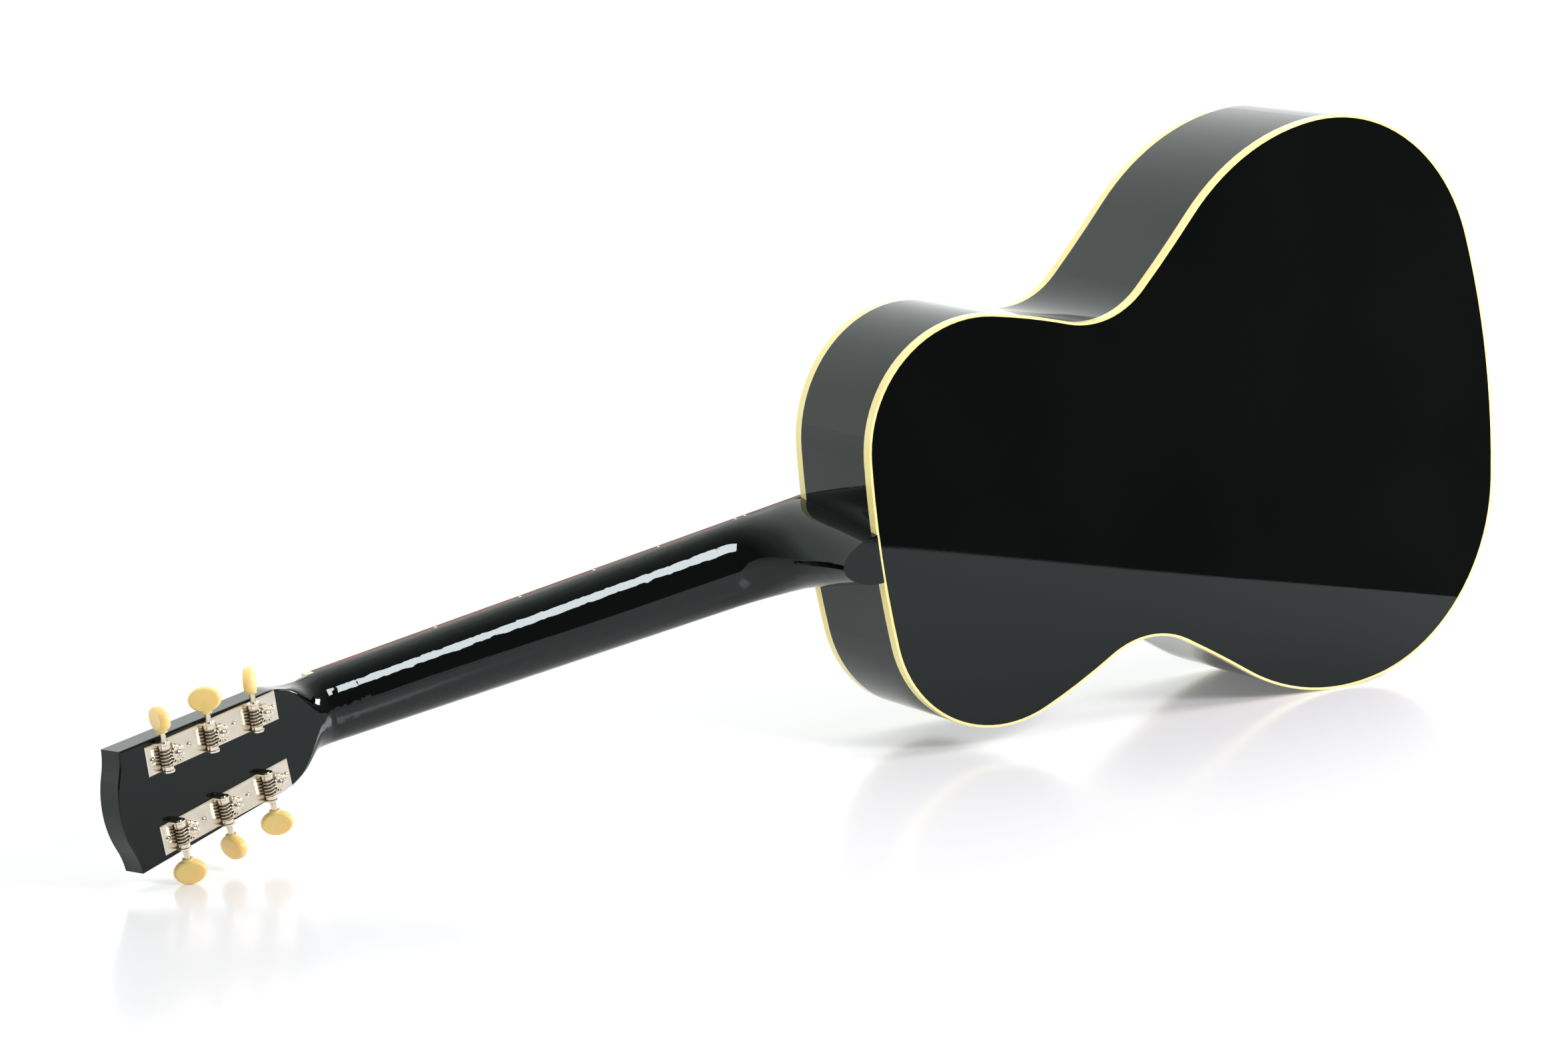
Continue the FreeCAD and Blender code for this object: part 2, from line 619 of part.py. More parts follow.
# Headstock outline in its own plane: u towards the tip, w across.
shoulder_u, shoulder_w = size("head_shoulder_u"), size("head_shoulder_w")
tip_u, tip_w = size("head_tip_u"), size("head_tip_w")
sweep_u, sweep_w = size("head_sweep_u"), size("head_sweep_w")


HEAD_START = 33.0


def head_outline(start_u):
    """Closed outline of the headstock from a distance start_u from the nut."""
    reach = size("head_shoulder_round")
    sweep_end = shoulder_u - reach
    middle_u = (start_u + sweep_end) / 2
    start_w, sweep_end_w = head_half_width(start_u), head_half_width(sweep_end)
    slope = (tip_w - shoulder_w) / (tip_u - shoulder_u)
    side_w = shoulder_w + slope * reach
    corner_w = (sweep_end_w + 2 * shoulder_w + side_w) / 4
    edges = []
    for side in (1, -1):
        def at(u, w):
            return Vector(u, side * w, 0)
        edges.append(Part.Arc(at(start_u, start_w), at(middle_u, head_half_width(middle_u)),
                              at(sweep_end, sweep_end_w)).toShape())
        edges.append(Part.Arc(at(sweep_end, sweep_end_w), at(shoulder_u, corner_w),
                              at(shoulder_u + reach, side_w)).toShape())
        edges.append(Part.LineSegment(at(shoulder_u + reach, side_w), at(tip_u, tip_w)).toShape())
        hollow = at((tip_u + sweep_u) / 2 - size("head_crown_hollow"), (tip_w + sweep_w) / 2)
        edges.append(Part.Arc(at(tip_u, tip_w), hollow, at(sweep_u, sweep_w)).toShape())
    edges.append(Part.Arc(Vector(sweep_u, sweep_w, 0), Vector(size("head_crown_u"), 0, 0),
                          Vector(sweep_u, -sweep_w, 0)).toShape())
    edges.append(Part.LineSegment(Vector(start_u, start_w, 0), Vector(start_u, -start_w, 0)).toShape())
    return Part.Face(Part.Wire(Part.__sortEdges__(edges)))


head_slab = head_outline(HEAD_START).extrude(Vector(0, 0, -size("head_wood")))
back_rim = [edge for edge in head_slab.Edges
            if abs(edge.BoundBox.ZMax) < 1e-6 and edge.BoundBox.ZLength < 1e-6
            and edge.BoundBox.XMax > HEAD_START + 1e-3]
head_slab = head_slab.makeFillet(size("head_edge_round"), back_rim)
head_slab.Placement = HEAD
face_start = HEAD.multVec(Vector(0, 0, -size("head_wood")))


def face_point(x):
    """Point of the headstock wood's face plane at a distance x from the nut."""
    return Vector(x, face_start.y + (x - face_start.x) * math.tan(HEAD_ANGLE), -90)


nut_back = -size("nut_length")
above_wood = Part.Face(Part.makePolygon([
    face_point(-220), face_point(nut_back), Vector(nut_back, 0, -90), Vector(JOINT_X + 60, 0, -90),
    Vector(JOINT_X + 60, 90, -90), Vector(-220, 90, -90), face_point(-220)])).extrude(BASS * 180)

# Heel: its sections fan out round a line below the neck, from square to the neck to level.
FAN = Vector(JOINT_X - size("heel_sweep"), -size("heel_foot"), 0)
FAN_ALONG = size("heel_sweep") - size("heel_length")
FAN_UP = size("heel_foot") - shaft_depth(FAN.x)
HEEL_ROUND = 1.75


def heel_half_width(x, y):
    """Half width where the heel meets the fingerboard's plane or the ribs."""
    narrowing = (board_half_width(JOINT_X) - size("heel_half_width")) * -y / size("heel_depth")
    return board_half_width(min(x, JOINT_X)) - narrowing


def heel_section(turn):
    """Section of the heel, turned up by so many degrees from the level of its cap."""
    swing = math.radians(turn)
    outward = Vector(math.cos(swing), math.sin(swing), 0)
    front = 1 / math.hypot(outward.x / FAN_ALONG, outward.y / FAN_UP)
    rear = min(size("heel_sweep") / max(outward.x, 1e-9), size("heel_foot") / max(outward.y, 1e-9))
    top = FAN + outward * rear
    roundness = HEEL_ROUND + (2.0 - HEEL_ROUND) * turn / 90
    half = heel_half_width(top.x, top.y)
    return neck_section(top, -outward, rear - front, half, roundness=roundness)


# The neck's skin: a straight shaft between a smooth transition to the headstock and the heel.
HEAD_STATIONS = [(HEAD_START, 0.0), (29.0, 0.05), (25.0, 0.15), (20.0, 0.36), (15.0, 0.62), (10.0, 0.85),
                 (5.0, 0.97)]
SHAFT_START, SHAFT_END = 20.0, FAN.x - 24
FAN_STEP = 9
near_head = [0.0, 5.0, 10.0, 15.0, SHAFT_START]
head_sections = [head_section(back_u, share) for back_u, share in HEAD_STATIONS]
head_sections += [shaft_section(x) for x in near_head]
head_places = [-back_u for back_u, share in HEAD_STATIONS] + near_head
near_heel = [SHAFT_END, FAN.x - 16, FAN.x - 8]
fan_turns = [90.0 - FAN_STEP * step for step in range(90 // FAN_STEP + 1)]
heel_sections = [shaft_section(x) for x in near_heel] + [heel_section(turn) for turn in fan_turns]
heel_places = near_heel + [FAN.x + (90.0 - turn) for turn in fan_turns]
neck_faces = skin(head_sections, head_places)
neck_faces += skin([head_sections[-1], heel_sections[0]], [SHAFT_START, SHAFT_END])
neck_faces += skin(heel_sections, heel_places)
neck_faces += [section_face(head_sections[0]), section_face(heel_sections[-1])]
neck_skin = Part.Compound(neck_faces)
neck_skin.sewShape(1e-4)
neck_stick = Part.Solid(neck_skin.Shells[0])
if neck_stick.Volume < 0:
    neck_stick.reverse()
HEEL_CAP_POINT = Vector(JOINT_X, -size("heel_depth"), 0)
HEEL_CAP_AXIS = (Vector(JOINT_X, -size("depth_neck_end"), 0) - dome_centre()).normalize()
under_cap = Part.makeBox(200, 200, 60, Vector(-100, -100, 0))
under_cap.Placement = Placement(HEEL_CAP_POINT, Rotation(Vector(0, 0, 1), HEEL_CAP_AXIS))

rod_half = size("rod_channel_width") / 2
rod_channel = box(-size("nut_length") - 20, JOINT_X - 12, -size("rod_channel_depth"), 20, -rod_half, rod_half)


def side_frames():
    """Side sign (+1 treble, -1 bass) and plate frame of the two rows of tuners."""
    frames = {}
    for side in (1, -1):
        seat = Placement(Vector(size("plate_u"), side * size("plate_w"), 0),
                         Rotation(Vector(0, 0, 1), side * size("plate_splay")))
        frames[side] = HEAD.multiply(seat)
    return frames


PLATE = side_frames()
POSTS = {1: (1, "post_near"), 2: (1, "post_middle"), 3: (1, "post_far"),
         4: (-1, "post_far"), 5: (-1, "post_middle"), 6: (-1, "post_near")}


def post_frame(number):
    """Frame of a string post: its z axis leaves the headstock's back."""
    side, place = POSTS[number]
    return PLATE[side].multiply(Placement(Vector(size(place), 0, 0), Rotation()))


def drilled(shape, radius):
    """Shape with the six post holes through the headstock."""
    for number in POSTS:
        drill = Part.makeCylinder(radius, 60, Vector(0, 0, -50))
        drill.Placement = post_frame(number)
        shape = shape.cut(drill)
    return shape


BUSHING_RADIUS = size("post_radius") + 1.3
neck = neck_stick.cut(above_wood).cut(OUTSIDE).cut(under_cap).fuse(head_slab)
neck = neck.fuse(TENON.cut(box(JOINT_X - 9, JOINT_X, LOW, 9, -90, 90))).cut(rod_channel)
SCREW_PLACES = [46.7, 19.0, -16.3, -47.5]
SCREW_CORE = 1.0


def plate_screw_frames():
    frames = []
    for side in (1, -1):
        for along in SCREW_PLACES:
            seat = Placement(Vector(along, 0, size("plate_thickness")), Rotation())
            frames.append(PLATE[side].multiply(seat))
    return frames


def screw(head_radius, core_radius, length, turn):
    """Round-head wood screw with a slot, its underside at z = 0."""
    rise = head_radius * 0.62
    ball_radius = (head_radius ** 2 + rise ** 2) / (2 * rise)
    ball = Part.makeSphere(ball_radius, Vector(0, 0, rise - ball_radius))
    head = ball.common(Part.makeCylinder(head_radius, rise))
    slot = Part.makeBox(4 * head_radius, 0.22 * head_radius, rise,
                        Vector(-2 * head_radius, -0.11 * head_radius, rise * 0.45))
    slot.rotate(ORIGIN, Vector(0, 0, 1), turn)
    shank = Part.makeCylinder(core_radius, length, Vector(0, 0, -length))
    point = Part.makeCone(0, core_radius, 2 * core_radius, Vector(0, 0, -length - 2 * core_radius))
    return fuse_all([head, shank, point]).cut(slot)


plate_screws = []
for index, frame in enumerate(plate_screw_frames()):
    one = screw(2.0, SCREW_CORE, 7.0, 25 + 47 * index)
    one.Placement = frame
    plate_screws.append(one)
    neck = neck.cut(one)
feature("plate_screws", Part.makeCompound(plate_screws))
neck = drilled(neck, BUSHING_RADIUS)

# Truss rod, its nut and its cover on the headstock face.
rod_y = -size("rod_channel_depth") + size("rod_radius") + 0.4
rod_nut_radius = size("rod_nut_radius")
rod_end = -size("nut_length") - 6
truss_rod = rod(size("rod_radius"), Vector(rod_end, rod_y, 0), Vector(JOINT_X - 13, rod_y, 0))
hexagon = Part.Face(Part.makePolygon([
    Vector(rod_end - 8, rod_y + rod_nut_radius * math.cos(math.pi * k / 3),
           rod_nut_radius * math.sin(math.pi * k / 3)) for k in range(7)]))
hex_nut = hexagon.extrude(ALONG * 9)
neck = neck.cut(hex_nut)
feature("truss_rod", truss_rod.fuse(hex_nut))

veneer = head_outline(6.0).extrude(Vector(0, 0, -size("veneer")))
veneer.Placement = HEAD.multiply(Placement(Vector(0, 0, -size("head_wood")), Rotation()))
veneer = veneer.common(box(-220, -size("nut_length"), -90, 90, -90, 90))
nut_side = Part.makeBox(20, size("nut_width"), size("veneer"),
                        Vector(-8, -size("nut_width") / 2, -size("head_wood") - size("veneer")))
nut_side.Placement = HEAD
veneer = veneer.fuse(nut_side.common(box(-220, -size("nut_length"), -90, 90, -90, 90))).removeSplitter()
veneer = drilled(veneer, BUSHING_RADIUS).cut(rod_channel).cut(hex_nut)
feature("headstock_veneer", veneer)

# The cover is bell-shaped: wide at the nut, bowed inwards at its sides, round at its tip.
COVER_NEAR, COVER_MIDDLE, COVER_FAR, COVER_TIP = 12.0, 26.0, 46.0, 48.5
COVER_WIDE, COVER_WAIST, COVER_NARROW = 10.5, 6.0, 3.0
COVER_THICKNESS = 1.5
cover_bottom = -size("head_wood") - size("veneer")


def cover_point(u, w):
    return Vector(u, w, cover_bottom)


near_left, near_right = cover_point(COVER_NEAR, COVER_WIDE), cover_point(COVER_NEAR, -COVER_WIDE)
far_left, far_right = cover_point(COVER_FAR, COVER_NARROW), cover_point(COVER_FAR, -COVER_NARROW)
cover_sides = [Part.Arc(near_left, cover_point(COVER_MIDDLE, COVER_WAIST), far_left).toShape(),
               Part.Arc(far_left, cover_point(COVER_TIP, 0), far_right).toShape(),
               Part.Arc(far_right, cover_point(COVER_MIDDLE, -COVER_WAIST), near_right).toShape(),
               Part.LineSegment(near_right, near_left).toShape()]
cover = Part.Face(Part.Wire(cover_sides)).extrude(Vector(0, 0, -COVER_THICKNESS))
cover_screws = []
for u, w in ((14.5, 7.0), (14.5, -7.0), (44.0, 0.0)):
    one = screw(1.6, 0.7, 5.0, 30)
    one.Placement = Placement(cover_point(u, w) - BASS * COVER_THICKNESS, Rotation(ALONG, 180))
    cover = cover.cut(one)
    one.Placement = HEAD.multiply(one.Placement)
    cover_screws.append(one)
    neck = neck.cut(one)
feature("truss_rod_cover", cover, HEAD)
veneer = veneer.cut(Part.makeCompound(cover_screws))
pieces["headstock_veneer"].Shape = veneer
feature("cover_screws", Part.makeCompound(cover_screws))

# ---------------------------------------------------------------- fingerboard, frets, dots, nut

board_end = fret_x(size("fret_count")) + 5
edge_drop = size("board_radius") - math.sqrt(size("board_radius") ** 2 - (size("nut_width") / 2) ** 2)
BOARD_TOP = size("board_edge") + edge_drop
crown_axis = Vector(-50, BOARD_TOP - size("board_radius"), 0)
CROWN_BALL = Part.makeCylinder(size("board_radius"), 600, crown_axis, ALONG)
half_nut, half_end = board_half_width(0), board_half_width(board_end)
board = Part.Face(Part.makePolygon([
    Vector(0, 0, -half_nut), Vector(0, 0, half_nut), Vector(board_end, 0, half_end),
    Vector(board_end, 0, -half_end), Vector(0, 0, -half_nut)])).extrude(OUT * 12).common(CROWN_BALL)


def fret(number):
    """One fret: a crowned bead and its tang, bent to the fingerboard's radius."""
    x = fret_x(number)
    half = size("fret_width") / 2
    tang = size("tang_width") / 2
    top = BOARD_TOP
    bead = Part.Arc(Vector(x - half, top, 0), Vector(x, top + size("fret_height"), 0),
                    Vector(x + half, top, 0)).toShape()
    foot = Part.makePolygon([Vector(x + half, top, 0), Vector(x + tang, top, 0),
                             Vector(x + tang, top - size("tang_depth"), 0),
                             Vector(x - tang, top - size("tang_depth"), 0), Vector(x - tang, top, 0),
                             Vector(x - half, top, 0)])
    section = Part.Face(Part.Wire([bead] + foot.Edges))
    swing = math.degrees(math.asin((board_half_width(x) - 0.3) / size("board_radius")))
    section.rotate(crown_axis, ALONG, -swing)
    return section.revolve(crown_axis, ALONG, 2 * swing)


frets = [fret(number) for number in range(1, int(size("fret_count")) + 1)]
fret_group = Part.makeCompound(frets)
feature("frets", fret_group)

DOT_FRETS = [(3, [0]), (5, [0]), (7, [0]), (9, [0]), (12, [-12, 12]), (15, [0]), (17, [0]), (19, [0])]
face_dots = []
side_dots = []
for number, places in DOT_FRETS:
    middle = (fret_x(number) + fret_x(number - 1)) / 2
    for z in places:
        dot = rod(size("dot_radius"), Vector(middle, BOARD_TOP - 1.6, z), Vector(middle, BOARD_TOP + 2, z))
        face_dots.append(dot.common(CROWN_BALL))
    for shift in ([0] if len(places) == 1 else [-3.6, 3.6]):
        x = middle + shift
        edge = board_half_width(x)
        side = rod(size("side_dot_radius"), Vector(x, size("side_dot_height"), edge - 2.0),
                   Vector(x, size("side_dot_height"), edge + 0.01))
        if x < JOINT_X:
            side_dots.append(side)
dots = Part.makeCompound(face_dots + side_dots)
feature("position_dots", dots)
board = board.cut(fret_group).cut(dots)
feature("fingerboard", board)
feature("neck", neck)


def string_radius(number):
    """Gauge of a light set, from the plain first to the wound sixth."""
    return {1: 0.15, 2: 0.2, 3: 0.3, 4: 0.4, 5: 0.53, 6: 0.67}[number]


def string_line(number, x):
    """Centre of a string at a distance from the nut's front edge."""
    share = (x + size("nut_length") / 2) / (SADDLE_X + size("nut_length") / 2)
    low = size("string_at_nut") + share * (size("string_at_saddle") - size("string_at_nut"))
    z = (string_z(number, "string_spacing_nut") * (1 - share)
         + string_z(number, "string_spacing_saddle") * share)
    return Vector(x, low + string_radius(number), z)


nut_half = size("nut_width") / 2
nut = box(-size("nut_length"), 0, 0, size("nut_height"), -nut_half, nut_half)
nut = nut.common(Part.makeCylinder(130, 40, Vector(-20, size("nut_height") - 130, 0), ALONG))
for number in range(1, 7):
    spot = string_line(number, 0)
    groove = rod(string_radius(number), Vector(-20, spot.y - 0.35, spot.z), Vector(9, spot.y, spot.z))
    upward = groove.copy()
    upward.translate(OUT * string_radius(number))
    nut = nut.cut(groove.fuse(upward))
nut = nut.removeSplitter()
feature("nut", nut)

# ---------------------------------------------------------------- bridge, saddle, pins, end pin

bridge = body_at("bridge", Placement(Vector(SADDLE_X, 0, 0), Rotation()))
bridge_outline = profile(bridge, "bridge_front_view", "YZ_Plane", [
    ("0 mm", "-sizes.bridge_length / 2"), ("sizes.bridge_wing_height", "-sizes.bridge_length / 2"),
    ("sizes.bridge_wing_height", "-sizes.bridge_crown_half - 22"),
    ("sizes.bridge_height", "-sizes.bridge_crown_half"), ("sizes.bridge_height", "sizes.bridge_crown_half"),
    ("sizes.bridge_wing_height", "sizes.bridge_crown_half + 22"),
    ("sizes.bridge_wing_height", "sizes.bridge_length / 2"), ("0 mm", "sizes.bridge_length / 2")])
bridge_outline.AttachmentOffset = Placement(Vector(0, 0, size("bridge_offset")), Rotation())
bridge_block = pad(bridge, bridge_outline, "bridge_block", "sizes.bridge_width", midplane=True)
doc.recompute()
upper_edges = [f"Edge{index}" for index, edge in enumerate(bridge.Shape.Edges, start=1)
               if edge.BoundBox.YMin > 1 and (edge.BoundBox.ZLength > 1 or abs(edge.BoundBox.ZMin) > 75)]
rounding = bridge.newObject("PartDesign::Fillet", "bridge_rounding")
rounding.Base = (bridge_block, upper_edges)
rounding.Radius = 1.2
doc.recompute()
slot_view = rectangle(bridge, "saddle_slot_view", "XZ_Plane",
                      ("-sizes.saddle_thickness / 2", "-sizes.saddle_half_length"),
                      ("sizes.saddle_thickness / 2", "sizes.saddle_half_length"))
slot_view.setExpression("AttachmentOffset.Base.z", "-sizes.bridge_height")
before_slot = bridge.Shape.Volume
saddle_slot = bridge.newObject("PartDesign::Pocket", "saddle_slot")
saddle_slot.Profile = slot_view
saddle_slot.setExpression("Length", "sizes.saddle_slot")
saddle_slot.Reversed = True
doc.recompute()
if bridge.Shape.Volume >= before_slot:
    raise RuntimeError("the saddle slot cuts nothing")
pin_view = circles(bridge, "bridge_pin_holes_view", "XZ_Plane", [
    ("sizes.pin_row", f"({number} - 3.5) * sizes.string_spacing_saddle", "sizes.pin_radius")
    for number in range(1, 7)])
pocket_through(bridge, pin_view, "bridge_pin_holes")

saddle_top = size("string_at_saddle")
saddle_half = size("saddle_half_length")
saddle_side = size("saddle_thickness") / 2
saddle = box(SADDLE_X - saddle_side, SADDLE_X + saddle_side, size("bridge_height") - size("saddle_slot"),
             saddle_top, -saddle_half, saddle_half)
crown_line = Vector(SADDLE_X - 20, saddle_top - 400, 0)
saddle = saddle.common(Part.makeCylinder(400, 40, crown_line, ALONG))
long_edges = [edge for edge in saddle.Edges if edge.BoundBox.YMin > size("bridge_height")
              and edge.BoundBox.ZLength > saddle_half]
feature("saddle", saddle.makeFillet(0.9, long_edges))


def turned(points, axis_base, axis, angle=360):
    """Solid of revolution from a closed polygon."""
    return Part.Face(Part.makePolygon(points + points[:1])).revolve(axis_base, axis, angle)


def bridge_pin(number):
    """Tapered pin with a rounded head, its axis square to the top."""
    foot = pin_axis(number)
    seat = size("bridge_height")
    head = Part.makeSphere(size("pin_head_radius"), foot + OUT * (seat + 0.2))
    head = head.common(box(foot.x - 9, foot.x + 9, seat, seat + 2.6, foot.z - 9, foot.z + 9))
    tail = seat - size("pin_length")
    taper = Part.makeCone(size("pin_radius") - 0.5, size("pin_radius"), size("pin_length"),
                          foot + OUT * tail, OUT)
    dot = Part.makeCylinder(1.1, 1.0, foot + OUT * (seat + 2.2), OUT)
    return head.fuse(taper).fuse(dot)


feature("bridge_pins", Part.makeCompound([bridge_pin(number) for number in range(1, 7)]))

end_pin = body_at("end_pin", Placement(Vector(TAIL_X, END_PIN_Y, 0), Rotation(OUT, 90)))
end_pin_view = profile(end_pin, "end_pin_half_section", "XZ_Plane", [
    ("0 mm", "-22 mm"), ("sizes.end_pin_radius - 0.8", "-22 mm"), ("sizes.end_pin_radius", "0 mm"),
    ("sizes.end_pin_head_radius - 1", "0 mm"), ("sizes.end_pin_head_radius - 1", "1.5 mm"),
    ("sizes.end_pin_neck_radius", "3 mm"), ("sizes.end_pin_neck_radius", "sizes.end_pin_reach - 4.5"),
    ("sizes.end_pin_head_radius", "sizes.end_pin_reach - 2.5"),
    ("sizes.end_pin_head_radius - 0.3", "sizes.end_pin_reach - 1.2"),
    ("sizes.end_pin_head_radius - 2", "sizes.end_pin_reach - 0.3"), ("0 mm", "sizes.end_pin_reach")])
revolve(end_pin, end_pin_view, "end_pin_turning")

# Pickguard: a plain drop on the treble side of the soundhole.
hole_edge = size("rosette_outer") + 1.5


def guard_point(along, across):
    return Vector(HOLE_X + along, 0, -across)


swing = math.radians(32)
guard_sides = [
    Part.Arc(guard_point(-hole_edge * math.sin(swing), hole_edge * math.cos(swing)),
             guard_point(hole_edge * math.sin(swing), hole_edge * math.cos(swing)),
             guard_point(hole_edge * math.sin(2.2 * swing), hole_edge * math.cos(2.2 * swing))).toShape(),
    Part.Arc(guard_point(hole_edge * math.sin(2.2 * swing), hole_edge * math.cos(2.2 * swing)),
             guard_point(102, 46), guard_point(112, 74)).toShape(),
    Part.Arc(guard_point(112, 74), guard_point(78, 97),
             guard_point(-hole_edge * math.sin(swing), hole_edge * math.cos(swing))).toShape()]
guard = Part.Face(Part.Wire(guard_sides)).extrude(OUT * size("guard_thickness"))
feature("pickguard", guard)

# ---------------------------------------------------------------- tuners

GEAR_PITCH_RADIUS = size("worm_pitch") * size("tooth_count") / (2 * math.pi)
CENTRE_DISTANCE = GEAR_PITCH_RADIUS + size("worm_pitch_radius")
LEAD_ANGLE = math.degrees(math.atan(size("worm_pitch") / (2 * math.pi * size("worm_pitch_radius"))))
GEAR_BOTTOM = size("gear_height") - size("gear_thickness") / 2
GEAR_TOP = size("gear_height") + size("gear_thickness") / 2
FACE = -size("head_wood") - size("veneer")
POST_HOLE = size("post_radius") + size("running_fit")
HALF_PLATE = size("plate_width") / 2


def worm_frame(number):
    """Frame of a worm: y leaves the headstock's edge along the shaft, -x faces the gear."""
    side, place = POSTS[number]
    outward = Rotation(Vector(1, 0, 0), 0 if side == 1 else 180)
    seat = Placement(Vector(size(place) + CENTRE_DISTANCE, 0, size("gear_height")), outward)
    return PLATE[side].multiply(seat)


def tuner_plate():
    """Stamped plate with bevelled edges, a pair of bent-up bearings for each worm, and holes."""
    half = size("plate_length") / 2
    plate = Part.makeBox(2 * half, 2 * HALF_PLATE, size("plate_thickness"), Vector(-half, -HALF_PLATE, 0))
    rim = [edge for edge in plate.Edges if edge.BoundBox.ZMin > size("plate_thickness") - 1e-6]
    plate = plate.makeChamfer(size("plate_bevel"), rim)
    for place in ("post_near", "post_middle", "post_far"):
        worm_x = size(place) + CENTRE_DISTANCE
        for y in (-HALF_PLATE, HALF_PLATE - size("ear_thickness")):
            foot = Part.makeBox(2 * size("ear_half_width"), size("ear_thickness"), size("gear_height"),
                                Vector(worm_x - size("ear_half_width"), y, 0))
            lobe = Part.makeCylinder(size("ear_half_width"), size("ear_thickness"),
                                     Vector(worm_x, y, size("gear_height")), OUT)
            plate = plate.fuse(foot).fuse(lobe)
        bearing = Part.makeCylinder(size("shaft_radius") + size("running_fit"), 2 * HALF_PLATE + 2,
                                    Vector(worm_x, -HALF_PLATE - 1, size("gear_height")), OUT)
        plate = plate.cut(bearing).cut(Part.makeCylinder(POST_HOLE, 9, Vector(size(place), 0, -2)))
    for along in SCREW_PLACES:
        plate = plate.cut(Part.makeCylinder(SCREW_CORE, 9, Vector(along, 0, -2)))
    return plate.removeSplitter()


plate_shape = tuner_plate()
feature("tuner_plate_treble", plate_shape, PLATE[1])
feature("tuner_plate_bass", plate_shape, PLATE[-1])


def bushing():
    """Ferrule pressed into the headstock's face round a string post."""
    outer = BUSHING_RADIUS
    flange = [Vector(POST_HOLE, 0, FACE + 9), Vector(outer, 0, FACE + 9), Vector(outer, 0, FACE),
              Vector(outer + 1.2, 0, FACE), Vector(outer + 1.2, 0, FACE - 0.8),
              Vector(outer + 0.2, 0, FACE - 1.5), Vector(POST_HOLE, 0, FACE - 1.5)]
    return turned(flange, ORIGIN, BASS)


bushings = []
for number in POSTS:
    ferrule = bushing()
    ferrule.Placement = post_frame(number)
    bushings.append(ferrule)
feature("post_bushings", Part.makeCompound(bushings))


def worm():
    """Single-start right-hand worm with smooth collars on a shaft that runs out to the button."""
    core = size("worm_core_radius")
    pitch = size("worm_pitch")
    length = pitch * size("worm_turns")
    depth = size("worm_crest_radius") - core
    root_half = 0.60
    crest_half = root_half - depth * math.tan(math.radians(17))
    thread_profile = Part.makePolygon([
        Vector(core - 0.1, 0, -root_half), Vector(core + depth, 0, -crest_half),
        Vector(core + depth, 0, crest_half), Vector(core - 0.1, 0, root_half),
        Vector(core - 0.1, 0, -root_half)])
    helix = Part.makeHelix(pitch, length, size("worm_pitch_radius"))
    thread = Part.Wire(helix.Edges).makePipeShell([thread_profile], True, True)
    thread.translate(Vector(0, 0, -length / 2))
    along_shaft = Placement(ORIGIN, Rotation(Vector(-1, 0, 0), BASS, OUT, "ZXY"))
    thread.Placement = along_shaft.multiply(thread.Placement)
    inner_end = HALF_PLATE - size("ear_thickness") - 0.15
    shaft_end = size("knob_offset") - size("knob_half_length") + 5
    solid = rod(core, Vector(0, -inner_end, 0), Vector(0, inner_end, 0)).fuse(thread)
    for low, high in ((-inner_end, -inner_end + size("collar_length")),
                      (inner_end - size("collar_length"), inner_end)):
        collar = rod(size("worm_crest_radius"), Vector(0, low, 0), Vector(0, high, 0))
        collar = collar.makeChamfer(0.3, [edge for edge in collar.Edges if edge.BoundBox.YLength < 1e-6])
        solid = solid.fuse(collar)
    return solid.fuse(rod(size("shaft_radius"), Vector(0, -HALF_PLATE - 0.4, 0), Vector(0, shaft_end, 0)))


def gear():
    """Spur-cut wheel whose gaps lean by the worm's lead angle; a gap faces the worm along +x."""
    pitch_radius = GEAR_PITCH_RADIUS
    tip = pitch_radius + 0.62
    floor = CENTRE_DISTANCE - size("worm_crest_radius") - 0.15
    flank = math.tan(math.radians(20))
    half_floor = 0.61 - (pitch_radius - floor) * flank
    half_tip = half_floor + (tip + 0.5 - floor) * flank
    height = size("gear_thickness")
    wheel = Part.makeCylinder(tip, height, Vector(0, 0, -height / 2))
    rims = [edge for edge in wheel.Edges if edge.BoundBox.ZLength < 1e-6]
    wheel = wheel.makeChamfer(0.35, rims)
    gap = Part.Face(Part.makePolygon([
        Vector(floor, -half_floor, -height), Vector(tip + 0.5, -half_tip, -height),
        Vector(tip + 0.5, half_tip, -height), Vector(floor, half_floor, -height),
        Vector(floor, -half_floor, -height)])).extrude(BASS * 2 * height)
    gap.rotate(ORIGIN, ALONG, -LEAD_ANGLE)
    count = int(size("tooth_count"))
    for tooth in range(count):
        cutter = gap.copy()
        cutter.rotate(ORIGIN, BASS, 360 * tooth / count)
        wheel = wheel.cut(cutter)
    return wheel.cut(Part.makeCylinder(size("gear_bore_radius"), 9, Vector(0, 0, -4.5)))


worm_shape = worm()
gear_shape = gear()
gear_screw_core = 0.9

knob_long, knob_wide = size("knob_half_length"), size("knob_half_width")
inner_half, outer_half = size("knob_inner_half"), size("knob_outer_half")


